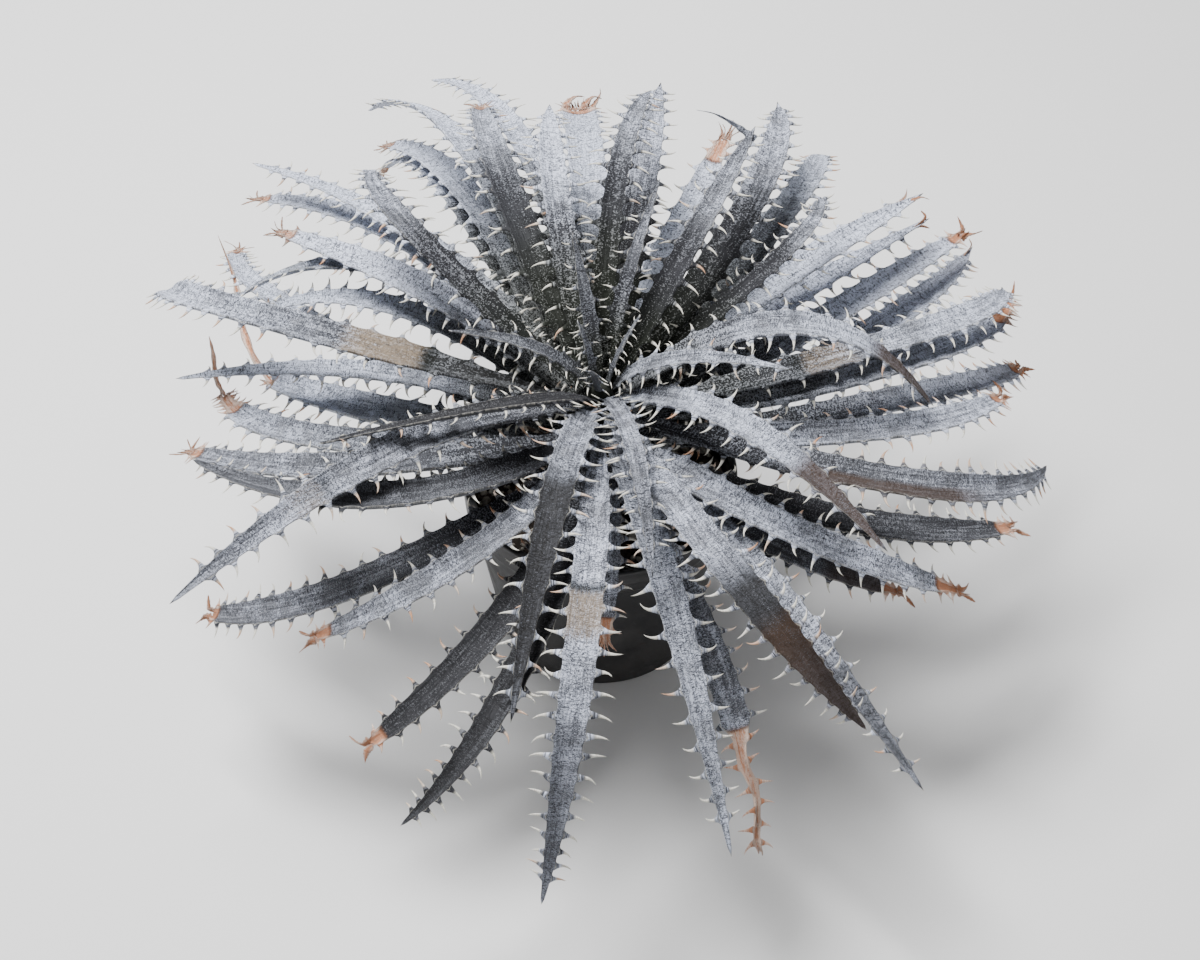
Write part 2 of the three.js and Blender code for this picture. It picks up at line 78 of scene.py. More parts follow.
# Ways to end: the share of the width that is left, and the power of the narrowing.
ENDINGS = {
    "point": {"width": 0.12, "power": 1.7},
    "late": {"width": 0.12, "power": 3.2},
    "dry": {"width": 0.42, "power": 2.2},
    "stump": {"width": 0.9, "power": 2.2},
}
DRIED = ("dry", "stump")
APEX_REACH = 2.5
TWIST_FROM = 0.2
BLADE_GAP = 0.7

# The leaves, from the heart outwards: heading and slope at the stem (degrees), how far out the
# arch bends, tip, width, how it ends, twist (degrees); then its coat: shade (-1 dark to 1 pale),
# partly the leaf's own tone and partly painted shade and painted light that make up for how
# brightly the leaf is lit, how smooth it is, and the share of its spines that are burnt.
LEAVES = [
    (358, 58, 0.45, (76, -10, 165), 7, "point", 0, 0.2, 0.2, 0.1),
    (72, 62, 0.4, (25, 73, 195), 6, "point", 0, -0.4, 0.0, 0.1),
    (287, 41, 0.58, (20, -109, 153), 7.5, "point", 0, 0.0, 0.0, 0.1),
    (240, 47, 0.4, (-111, -40, 153), 8.5, "point", 0, -1.0, 0.0, 0.1),
    (88, 56, 0.75, (22, 132, 198), 9, "late", 0, -0.5, 0.1, 0.1),
    (49, 41, 0.48, (67, 112, 192), 10.5, "late", 0, -0.6, 0.0, 0.1),
    (332, 38, 0.48, (110, -88, 145), 12.5, "point", 0, 0.4, 0.2, 0.1),
    (256, 39, 0.48, (-33, -153, 123), 12.5, "point", 0, 0.1, 0.1, 0.1),
    (155, 35, 1.01, (-97, 87, 190), 11, "point", 0, -0.2, 0.0, 0.1),
    (8, 44, 0.82, (139, 2, 135), 13.5, "point", 0, 0.5, 0.1, 0.1),
    (37, 14, 1.02, (95, 87, 175), 8, "point", 0, -0.5, 0.0, 0.1),
    (108, 43, 0.6, (-23, 151, 175), 12, "late", 0, 0.4, 0.1, 0.1),
    (288, 21, 0.99, (101, -148, 108), 14, "point", 25, 0.3, 0.1, 0.1),
    (205, 30, 0.44, (-168, -92, 118), 14.5, "point", -25, -0.1, 0.0, 0.5),
    (171, 12, 1.03, (-188, 64, 142), 14.5, "late", 0, 0.5, 0.1, 0.4),
    (330, 7, 0.94, (191, -9, 105), 14.5, "point", 20, -0.2, 0.0, 0.8),
    (118, 36, 0.76, (-55, 156, 171), 13.5, "dry", 0, -0.5, 0.2, 0.1),
    (49, 21, 0.75, (82, 158, 170), 14.5, "late", 0, -0.35, 0.0, 0.1),
    (269, 22, 0.98, (-22, -198, 65), 13, "point", 0, 0.3, 0.0, 0.1),
    (78, 36, 0.5, (28, 176, 168), 13.5, "late", 0, -0.45, 0.0, 0.1),
    (284, 26, 0.5, (50, -180, 73), 13, "point", 0, 0.15, 0.2, 0.1),
    (148, 38, 0.42, (-140, 80, 161), 14.5, "dry", 0, 0.7, 0.0, 0.1),
    (14, 4, 0.95, (178, 68, 138), 13.5, "late", 0, 0.4, 0.1, 0.1),
    (264, 12, 0.93, (-76, -170, 75), 11.5, "point", 0, -0.7, 0.0, 0.1),
    (309, 9, 0.63, (151, -64, 88), 14.5, "dry", 0, 0.3, 0.1, 0.1),
    (136, 20, 0.84, (-166, 53, 139), 10, "point", 35, -0.6, 0.6, 0.1),
    (233, 17, 0.78, (-171, -11, 111), 15, "point", 0, -0.6, 0.1, 0.1),
    (99, 31, 0.7, (-80, 207, 149), 11, "point", 0, 0.9, 0.3, 0.1),
    (128, 28, 0.5, (-158, 141, 150), 10.5, "point", 0, 0.8, 0.3, 0.1),
    (2, 12, 0.85, (186, 80, 122), 14.5, "dry", 0, 0.5, 0.1, 0.1),
    (248, 9, 0.58, (-119, -82, 80), 12.5, "dry", 0, -0.1, 0.1, 0.4),
    (210, 14, 0.73, (-178, 3, 103), 14, "dry", 0, -0.3, 0.1, 0.1),
    (147, 25, 0.75, (-154, 52, 135), 10, "point", 0, 0.5, 0.6, 0.1),
    (53, 13, 0.3, (142, 111, 155), 15.5, "late", 0, 0.5, 0.3, 0.1),
    (312, 11, 0.35, (124, -156, 82), 13.5, "point", 0, 0.1, 0.1, 0.1),
    (348, 9, 0.77, (176, 28, 112), 14, "dry", 0, 0.3, 0.1, 0.5),
    (76, 22, 0.26, (59, 160, 152), 15.5, "dry", 0, 0.5, 0.5, 0.3),
    (112, 34, 0.8, (-110, 193, 142), 11, "point", 40, 0.8, 0.4, 0.1),
    (50, 18, 0.85, (104, 167, 135), 13.5, "late", 0, -0.1, 0.6, 0.9),
    (156, 14, 0.45, (-182, 31, 120), 11, "point", 0, 0.4, 0.5, 0.1),
    (322, 8, 0.69, (178, -27, 87), 15, "dry", 0, -0.7, 0.0, 0.1),
    (191, 7, 0.89, (-166, 31, 111), 14, "dry", 0, 0.0, 0.3, 0.1),
    (258, 7, 0.61, (-95, -127, 65), 13.5, "dry", 0, -0.8, 0.0, 0.6),
    (313, 4, 0.62, (128, -58, 80), 11.5, "dry", 0, -0.5, 0.0, 0.1),
    (45, 14, 0.35, (147, 112, 140), 13.5, "point", 0, 0.4, 0.2, 0.1),
    (276, 8, 0.4, (2, -84, 80), 11, "dry", 0, 0.1, 0.0, 0.1),
    (161, 12, 0.94, (-166, 110, 125), 10, "dry", 0, 0.5, 0.5, 0.1),
    (125, 24, 0.62, (-160, 139, 131), 11, "dry", 0, 0.5, 0.4, 0.1),
    (32, 8, 0.5, (168, 118, 128), 14.5, "dry", 0, 0.45, 0.2, 0.5),
    (226, 5, 0.84, (-167, -61, 70), 14.5, "dry", 0, -0.4, 0.0, 0.5),
    (112, 23, 0.79, (-102, 175, 134), 13, "dry", 0, 0.6, 0.5, 0.1),
    (173, 6, 0.68, (-148, 43, 108), 17, "dry", 0, 0.1, 0.6, 0.1),
    (91, 30, 0.6, (-11, 210, 130), 18, "stump", 0, 0.5, 0.5, 0.2),
    (8, 6, 0.85, (189, 54, 104), 14, "dry", 0, 0.2, 0.2, 0.7),
    (293, 12, 0.72, (64, -170, 50), 12.5, "dry", 0, -0.1, 0.0, 0.8),
    (115, 21, 0.96, (-105, 180, 114), 13, "dry", 0, 0.6, 0.5, 0.1),
    (27, 2, 0.74, (172, 120, 115), 14, "late", 0, 0.3, 0.2, 0.3),
]

# The youngest leaves, in the heart, and the dead bases of old ones below the rosette.
YOUNG_FOOT = {"height": 144, "radius": 1.8, "width": 3}
YOUNG_LEAVES = [
    (102, 64, 0.45, (-11, 41, 192), 6, "point", 0, -0.5, 0.2, 0.0),
    (170, 58, 0.45, (-60, -1, 178), 6, "point", 0, -0.5, 0.2, 0.0),
    (130, 82, 0.5, (-9, 12, 171), 3.2, "point", 0, -0.5, 0.4, 0.0),
    (10, 80, 0.5, (16, 12, 174), 3.2, "point", 0, -0.5, 0.4, 0.0),
    (250, 80, 0.5, (-4, -14, 168), 3.2, "point", 0, -0.5, 0.4, 0.0),
]
OLD_FOOT = {"height": 93, "radius": 10, "width": 10}
OLD_BASES = {"count": 7, "turn": 137.5, "slope": 4, "reach": 33, "rise": 89, "uneven": 9, "seed": 5}

# Where a leaf is dead from, as a share of its length, the share of its width that is left, and
# how rusty the dead end is (0 bleached to 1 orange).
DEAD = {
    17: (0.95, 0.9, 0.3), 22: (0.96, 0.8, 0.3), 25: (0.92, 0.55, 1.0), 30: (0.80, 0.45, 1.0),
    31: (0.94, 0.75, 0.8), 32: (0.95, 0.7, 0.5), 36: (0.94, 0.6, 0.9), 37: (0.92, 0.85, 0.4),
    41: (0.94, 0.7, 0.8), 42: (0.84, 0.5, 0.3), 43: (0.94, 0.7, 0.8), 44: (0.92, 0.6, 0.8),
    46: (0.90, 0.9, 0.6), 47: (0.95, 0.6, 0.3), 48: (0.96, 0.6, 0.4), 49: (0.95, 0.6, 1.0),
    50: (0.95, 0.75, 0.8), 51: (0.96, 0.7, 0.3), 52: (0.95, 0.6, 0.2), 53: (0.95, 0.95, 0.4),
    54: (0.92, 0.6, 0.9), 55: (0.68, 0.40, 0.0), 56: (0.94, 0.7, 0.3),
}
# The same three for leaves that aren't listed: those that live to the tip, and dried ones.
LIVE_END = (1.2, 1.0, 0.0)
OLD_BASE_END = (0.9, 0.8, 0.6)
# The leaf whose long dead end keeps its own spines. It doesn't fray, nor do the three that end in
# long strips.
LONG_HUSK_LEAF = 55
NO_FRAY = (30, 42, 52, LONG_HUSK_LEAF)

# Marked stretches: leaf number, from, to, strength. Tan ones have a scorched edge at their foot.
TAN = [(15, 0.19, 0.35, 0.9), (19, 0.37, 0.50, 0.9), (23, 0.26, 0.40, 0.7), (14, 0.68, 0.80, 0.6)]
BROWN = [
    (16, 0.28, 0.70, 0.9), (13, 0.62, 1.1, 1.0), (7, 0.72, 1.1, 1.0), (10, 0.78, 1.1, 1.0),
    (50, 0.86, 0.92, 0.5), (37, 0.84, 0.92, 0.5), (44, 0.72, 1.1, 0.7),
]
CHARRED = [
    (15, -0.1, 0.22, 0.75), (4, 0.05, 0.9, 0.35), (19, 0.62, 1.2, 0.5), (8, 0.45, 1.1, 1.0),
    (13, 0.47, 0.80, 1.0), (35, 0.75, 1.1, 0.7), (3, 0.70, 1.1, 0.4), (24, 0.30, 1.1, 0.5),
    (43, 0.2, 1.1, 0.3),
]
# How soft a mark's ends are, as a share of the leaf's length, how many times longer it takes to
# fade than to begin, and how far a scorched edge reaches (mm).
MARK_EDGE = {"tan": 0.02, "brown": 0.04, "charred": 0.06, "fade": 3, "scorch": 2.4}
# The leaf that is stained on one side alone.
HALF_STAINED_LEAF = 16

# The share of its length from which a leaf's spines hook forwards.
HOOK_FROM = {13: 1.2, 19: 0.5, 21: 1.2, 34: 0.3, 35: 1.2, 39: 0.0, 55: 1.2, 18: 0.4}

# Withered strips that carry on from a leaf's end: leaf, width, how dead, how rusty, then places
# to the right of its end, above it, and towards the front along the slant that leaves give way
# along (mm).
WITHERED = [
    (6, 3.4, 0.0, 0.0, [(1, -4, 0), (-3, -1, 0), (-9, 3, 1), (-17, 7, 2), (-25, 8.5, 3)]),
    (42, 4.2, 1.0, 0.4, [(3, -5, 0), (0, 0, 0), (-3, 6, 0), (-4.5, 17, -1), (-6.5, 25, -2)]),
    (52, 4.6, 1.0, 0.4, [
        (3, -4, 0), (-7, 10, -6), (-13, 24, -12), (-15.5, 39, -14), (-18, 49, -14), (-24, 65, -12),
    ]),
    (30, 2.6, 1.0, 1.0, [(-8, -16, 0), (-4, -9, 0), (0, 2, 1), (1, 8, 1)]),
    (25, 2.4, 1.0, 1.0, [(-13, 3, 0), (-7, 1.5, 0.5), (0, -0.5, 1), (3, -1, 1)]),
    (34, 3.0, 1.0, 1.0, [(-9, -5, 0), (-3, -2, 0.5), (2, 0, 1), (6, -1, 1)]),
    (34, 2.2, 1.0, 0.3, [(-9, -4, 0), (-5, 0, 0.5), (-4, 4, 1)]),
    (45, 2.8, 1.0, 1.0, [(-9, -5, 0), (-3, -2, 0.5), (1, 2, 1), (-1, 5, 1)]),
    (45, 2.2, 1.0, 0.8, [(-6, -4, 0), (-1, -2, 0.5), (3, -3, 1)]),
    (57, 2.2, 1.0, 0.7, [(-7, -5, 0), (-2, -1, 0.5), (1, 3, 1), (0, 6, 1)]),
    (53, 5.2, 1.0, 0.3, [(-6, -3, 0), (-5, 2, 1), (-1, 5, 2), (3, 5, 3)]),
    (53, 4.4, 1.0, 0.5, [(2, -3, 0), (4, 2, 1), (8, 5, 2), (12, 4, 2)]),
    (53, 3.4, 1.0, 0.3, [(5, -4, 0), (8, 1, 1), (11, 6, 2), (11, 9, 3)]),
]

# A dried end frays into spines: prongs where it is rusty, a fan of thin ones where it is bleached.
FRAY = {"rusty": 0.75, "prong": 3.6, "hair": 1.7, "length": 6.5, "spread": 0.8, "inside": 3.0}

# ------------------------------------------------------------------ leaf shape


def lerp(a, b, t):
    return a + (b - a) * t


def smooth(x, low, high):
    x = np.clip((np.asarray(x, float) - low) / (high - low), 0, 1)
    return x * x * (3 - 2 * x)


def unit(v):
    return v / np.maximum(np.linalg.norm(v, axis=-1, keepdims=True), 1e-12)


def dot(a, b):
    return (a * b).sum(-1, keepdims=True)


def compass(degrees):
    angle = math.radians(degrees)
    return np.array([math.cos(angle), math.sin(angle), 0.0])


UP = np.array([0.0, 0.0, 1.0])
# Where leaves cross, both give way along this slant until the inner one lies on top.
EASE = np.array([0, -0.682, 0.731])
PLAN_X = np.array([1.0, 0, 0])
PLAN_Y = np.array([0, 0.731, 0.682])
FRAME_STEPS = 40


def foot_at(down):
    """Where a leaf leaves the stem, from 0 at the heart to 1 at the lowest leaf."""
    return {
        "height": lerp(TOP_LEAF["height"], BOTTOM_LEAF["height"], down),
        "radius": lerp(TOP_LEAF["radius"], BOTTOM_LEAF["radius"], down) + FIT_GAP,
        "width": lerp(BASE_WIDTH["inner"], BASE_WIDTH["outer"], down),
    }


class Leaf:
    """One blade: an arch from the stem to its tip, and the frame that its section lies in."""

    def __init__(self, row, foot, number=0):
        heading, slope, bend_at, tip, self.width, self.ending, self.twist = row[:7]
        self.shade, self.smoothness, self.burnt = row[7:]
        self.number = number
        self.base_width = min(self.width, foot["width"])
        rise, run = math.sin(math.radians(slope)), math.cos(math.radians(slope))
        heel = SECTION["keel"] * self.base_width / SECTION["width"] * rise
        outward = compass(heading)
        self.outward = outward
        self.start = outward * (foot["radius"] + heel) + UP * foot["height"]
        self.end = np.array(tip, float)
        reach = np.linalg.norm(self.end - self.start) * bend_at
        self.bend = self.start + (outward * run + UP * rise) * reach
        self.first_up = UP * run - outward * rise
        self.mid_ease = self.tip_ease = 0.0
        self.lay_frames()

    def places(self, t):
        t = np.asarray(t, float)[..., None]
        rest = 1 - t
        ease = self.mid_ease * 4 * t * rest + self.tip_ease * t * t
        return self.start * rest**2 + self.bend * 2 * t * rest + self.end * t**2 + EASE * ease

    def directions(self, t):
        step = 1e-3
        t = np.asarray(t, float)
        return unit(self.places(t + step) - self.places(t - step))

    def lay_frames(self):
        """Carries the upper side along the arch without spinning it."""
        t = np.arange(FRAME_STEPS + 1) / FRAME_STEPS
        up, ups = self.first_up, []
        for along in self.directions(t):
            up = up - along * (up @ along)
            up = up / np.linalg.norm(up)
            ups.append(up)
        self.ups = np.array(ups)
        self.length = np.linalg.norm(np.diff(self.places(t), axis=0), axis=1).sum()

    def frames(self, t):
        place = np.clip(np.asarray(t, float) * FRAME_STEPS, 0, FRAME_STEPS - 1e-6)
        index = np.floor(place).astype(int)
        share = (place - index)[..., None]
        along = self.directions(t)
        up = lerp(self.ups[index], self.ups[index + 1], share)
        up = unit(up - along * dot(up, along))
        turn = math.radians(self.twist) * smooth(t, TWIST_FROM, 1)[..., None]
        up = up * np.cos(turn) + np.cross(along, up) * np.sin(turn)
        return self.places(t), along, up, np.cross(along, up)

    def widths(self, t):
        opening = lerp(self.base_width / self.width, 1, smooth(t, 0, TAPER["open_by"]))
        past = np.maximum(0, (t - TAPER["close_from"]) / (1 - TAPER["close_from"]))
        ending = ENDINGS[self.ending]
        return self.width * opening * lerp(1, ending["width"], past ** ending["power"])


def section_sizes(width):
    """Margin height, keel depth and margin thickness of a blade that wide."""
    scale = width / SECTION["width"]
    rise = SECTION["margin_rise"] * scale
    sink = SECTION["keel"] * np.maximum(scale, SECTION["least_depth"])
    thick = SECTION["margin_thick"] * np.minimum(1, scale * SECTION["thick_rate"])
    return rise, sink, np.maximum(SECTION["least_thick"], thick)


# ------------------------------------------------------------------ leaves clear of each other

TOUCH = {"steps": 32, "from": 0.14, "near": 5, "rounds": 160, "give": 0.3, "least_facing": 0.35}


def touch_samples(leaf):
    """Points on the margins and the middle of a blade, with what its upper and lower sides add."""
    t = np.arange(TOUCH["steps"] + 1) / TOUCH["steps"]
    t = t[t >= TOUCH["from"]]
    at, _, up, across = leaf.frames(t)
    width = leaf.widths(t)
    rise, sink, _ = section_sizes(width)
    tilt = up @ EASE
    facing = np.maximum(TOUCH["least_facing"], np.abs(tilt))
    lean = np.where(tilt < 0, -1.0, 1.0)
    sides = np.array([-1.0, 0.0, 1.0])
    points = at[:, None] + across[:, None] * (sides[None, :] * width[:, None] / 2)[..., None]

    def spread(values):
        return np.repeat(values, len(sides))

    return {
        "t": spread(t),
        "x": (points @ PLAN_X).ravel(),
        "y": (points @ PLAN_Y).ravel(),
        "height": (points @ EASE).ravel(),
        "slope_x": spread(-lean * (up @ PLAN_X) / facing),
        "slope_y": spread(-lean * (up @ PLAN_Y) / facing),
        "over": spread(rise / facing),
        "under": spread(sink / facing),
    }


def find_contacts(leaves):
    """Pairs of places where one blade passes over another, with what the upper one lacks."""
    samples = [touch_samples(leaf) for leaf in leaves]
    contacts = []
    for i, a in enumerate(samples):
        for j in range(i + 1, len(samples)):
            b = samples[j]
            dx = a["x"][:, None] - b["x"][None, :]
            dy = a["y"][:, None] - b["y"][None, :]
            lack = b["height"] + b["slope_x"] * dx + b["slope_y"] * dy + b["over"]
            lack = lack + (a["under"] + BLADE_GAP - a["height"])[:, None]
            near = dx * dx + dy * dy <= TOUCH["near"] ** 2
            for p, q in zip(*np.nonzero(near)):
                contacts.append((i, a["t"][p], j, b["t"][q], lack[p, q]))
    return contacts


def ease_apart(leaves):
    """Moves crossing blades apart, a share of what they lack at a time."""
    mids, tips = [0.0] * len(leaves), [0.0] * len(leaves)

    def shares(t):
        mid, tip = 4 * t * (1 - t), t * t
        step = TOUCH["give"] / 2 / (mid * mid + tip * tip)
        return mid, tip, mid * step, tip * step

    pairs = [(i, *shares(t), j, *shares(s), lack) for i, t, j, s, lack in find_contacts(leaves)]
    pairs = [tuple(float(v) if n not in (0, 5) else v for n, v in enumerate(p)) for p in pairs]
    for _ in range(TOUCH["rounds"]):
        for i, am, at, amg, atg, j, bm, bt, bmg, btg, lack in pairs:
            missing = lack - mids[i] * am - tips[i] * at + mids[j] * bm + tips[j] * bt
            if missing > 0:
                mids[i] += missing * amg
                tips[i] += missing * atg
                mids[j] -= missing * bmg
                tips[j] -= missing * btg
    for leaf, mid, tip in zip(leaves, mids, tips):
        leaf.mid_ease, leaf.tip_ease = mid, tip
        leaf.lay_frames()


# ------------------------------------------------------------------ spines clear of other leaves

SLAB = {"steps": 22, "lap": 0.7, "margin": 0.4}
SPINE_GAP = 0.6
SPINE_NEAR = 18
MOST_SPINES = 9000
# Share of its length and lift (degrees) that a spine tries in turn, until it is clear.
SPINE_TRIES = [(1, 0), (1, 22), (1, -22), (0.85, 45), (0.85, -45), (0.6, 0), (0.6, 60), (0.4, 0)]


class Neighbours:
    """What a spine has to miss: the blades of other leaves, as slabs, and their spines."""

    def __init__(self, leaves):
        t = np.arange(SLAB["steps"] + 1) / SLAB["steps"]
        parts = []
        for owner, leaf in enumerate(leaves):
            at, along, up, across = leaf.frames(t)
            width = leaf.widths(t)
            rise, sink, _ = section_sizes(width)
            half = np.full(len(t), leaf.length / SLAB["steps"] * SLAB["lap"])
            parts.append((at, along, up, across, width, rise, sink, half, np.full(len(t), owner)))
        stacked = [np.concatenate(column) for column in zip(*parts)]
        self.at, self.along, self.up, self.across = stacked[:4]
        self.width, self.rise, self.sink, self.half, self.owner = stacked[4:]
        self.count = 0
        self.lines = np.zeros((MOST_SPINES, len(SPINE_SAMPLES), 3))
        self.owners = np.zeros(MOST_SPINES, int)

    def blocked(self, owner, points):
        near = self.owner != owner
        near &= np.linalg.norm(self.at - points[0], axis=1) < SPINE_NEAR + self.half
        offset = points[:, None] - self.at[near][None]
        height = (offset * self.up[near]).sum(-1)
        inside = np.abs((offset * self.along[near]).sum(-1)) < self.half[near]
        inside &= np.abs((offset * self.across[near]).sum(-1)) < self.width[near] / 2 + SLAB["margin"]
        inside &= height < self.rise[near] + SLAB["margin"]
        inside &= height > -self.sink[near] - SLAB["margin"]
        return inside.any()

    def crossed(self, owner, points):
        lines = self.lines[:self.count][self.owners[:self.count] != owner]
        lines = lines[np.linalg.norm(lines[:, 0] - points[0], axis=1) < SPINE_NEAR]
        if not len(lines):
            return False
        gaps = np.linalg.norm(lines[:, None] - points[None, :, None], axis=-1)
        return gaps.min() < SPINE_GAP

    def clear_of(self, owner, points):
        return not (self.blocked(owner, points) or self.crossed(owner, points))

    def add(self, owner, points):
        self.lines[self.count] = points
        self.owners[self.count] = owner
        self.count += 1


# ------------------------------------------------------------------ fine leaf mesh

# Points across the upper side, from margin to margin, and as many back along the lower side.
ACROSS = 13
RING = 2 * ACROSS
SPINE_ROWS = np.array([-1.0, -0.5, 0.0, 0.5, 1.0])
SPINE_RINGS = np.array([0.12, 0.26, 0.45, 0.65, 0.84])
SPINE_SAMPLES = np.array([0.35, 0.6, 0.8, 1.0])
CURVE_STEPS = 10
GAP_ROWS = 3
STAGGER = 1.2
# Spines stand closer near a leaf's end, and crowd round a dried one.
CROWDING = {"from": 0.78, "share": 0.62, "dried": 4.2}
SPACING = {
    "broad": 13, "narrow": 0.66, "first": 0.55, "last": 0.975, "dried_last": 0.99, "uneven": (0.9, 1.1),
}
# A spine's size: on narrow blades, near the heart, at the foot and the end of a leaf, and by chance.
SPINE_GROWTH = {
    "least": 0.35, "broad": 15, "heart": 1.34, "heart_leaves": 24, "foot": 0.8, "foot_to": 0.2,
    "end": 0.78, "end_from": 0.6, "uneven": (0.84, 1.16), "crowd": 0.42, "dead": 0.8,
}
# A spine's form: how stout it is, from the heart outwards, how it hooks and leans (radians, the
# droop in degrees), and where it sits on the margin (mm). Dead spines lean and hook at random.
SPINE_FORM = {
    "stout": (0.9, 1.25), "stout_leaves": 20, "hook": (0.35, 1.3), "hook_from": (0.25, 0.85), "droop": 14,
    "lean": 0.16, "sink": 0.12, "dead_lean": (-0.4, 0.5), "dead_hook": (-0.5, 1.2), "half_base": 2.0,
    "margin": 6,
}
# From the front of the rosette, open to the light, to its back, which stands in a deep cup: how
# cupped a leaf is, how far up it is dark (partly a thinner coat near the heart, partly painted
# shade in the cup), and the painted shade low down and painted light above that its shade gains.
CUP = {
    "least": 0.25, "dark_from": 0.10, "dark_to": (0.35, 0.78), "shade": (-0.55, 0.95),
    "between": (0.38, 0.76), "grown_leaves": 8,
}
# Unevenness of a blade's faces: heights on a blade of the section's width, and lengths (mm).
UNEVEN = {"short": (0.10, 4.1), "shorter": (0.07, 2.3), "lane": 0.06, "warp": (0.25, 13)}
FORK_FROM = 0.955


def ring_layout():
    """u (-1 to 1 across the blade) and whether a ring's point lies on the lower side."""
    even = np.linspace(-1, 1, ACROSS)
    u = 0.45 * even + 0.55 * np.sin(even * math.pi / 2)
    return np.concatenate([u, u[::-1]]), np.repeat([False, True], ACROSS)


def between_rings(rings):
    """Quads that join each closed ring of vertices to the next."""
    ahead = np.roll(rings, -1, axis=1)
    return np.stack([rings[:-1], ahead[:-1], ahead[1:], rings[1:]], -1)


class Shape:
    """Vertices, faces and what the material reads at each vertex, gathered for one mesh."""

    LAYERS = ("place", "tone", "mark", "wear", "coat")

    def __init__(self):
        self.points, self.quads, self.triangles = [], [], []
        self.layers = {name: [] for name in self.LAYERS}
        self.size = 0

    def add(self, points, **layers):
        """Adds vertices. A layer that isn't given is zero."""
        first, count = self.size, len(points)
        self.points.append(np.asarray(points, float))
        for name, store in self.layers.items():
            values = layers.get(name, (0.0, 0.0, 0.0))
            store.append(np.stack([np.broadcast_to(v, count) for v in values], 1).astype(float))
        self.size += count
        return first

    def skin(self, rings):
        self.quads += between_rings(rings).reshape(-1, 4).tolist()

    def fan(self, ring, apex, below=False):
        """Triangles from a closed ring of vertices to one above it, or to one below it."""
        ahead = np.roll(ring, -1)
        near, far = (ahead, ring) if below else (ring, ahead)
        self.triangles += np.stack([near, far, np.full(len(ring), apex)], 1).tolist()

    def mesh(self, name):
        points = np.concatenate(self.points) * MM
        quads = np.array(self.quads, np.int32).reshape(-1, 4)
        triangles = np.array(self.triangles, np.int32).reshape(-1, 3)
        mesh = bpy.data.meshes.new(name)
        mesh.vertices.add(len(points))
        mesh.vertices.foreach_set("co", points.astype(np.float32).ravel())
        corners = np.concatenate([quads.ravel(), triangles.ravel()])
        mesh.loops.add(len(corners))
        mesh.loops.foreach_set("vertex_index", corners)
        starts = np.arange(len(quads)) * 4
        starts = np.concatenate([starts, len(quads) * 4 + np.arange(len(triangles)) * 3])
        mesh.polygons.add(len(starts))
        mesh.polygons.foreach_set("loop_start", starts.astype(np.int32))
        mesh.polygons.foreach_set("use_smooth", np.ones(len(starts), bool))
        for label, store in self.layers.items():
            layer = mesh.attributes.new(label, "FLOAT_VECTOR", "POINT")
            layer.data.foreach_set("vector", np.concatenate(store).astype(np.float32).ravel())
        mesh.update(calc_edges=True)
        mesh.validate()
        return mesh


MARKS = {"tan": TAN, "brown": BROWN, "charred": CHARRED}


def marked(kind, number, t):
    """How strongly each place on a leaf is marked."""
    edge, total = MARK_EDGE[kind], np.zeros_like(t)
    for leaf_number, low, high, strength in MARKS[kind]:
        if leaf_number == number:
            begun = smooth(t, low - edge, low + edge)
            ended = smooth(t, high - MARK_EDGE["fade"] * edge, high + edge)
            total += strength * begun * (1 - ended)
    return np.minimum(total, 1)


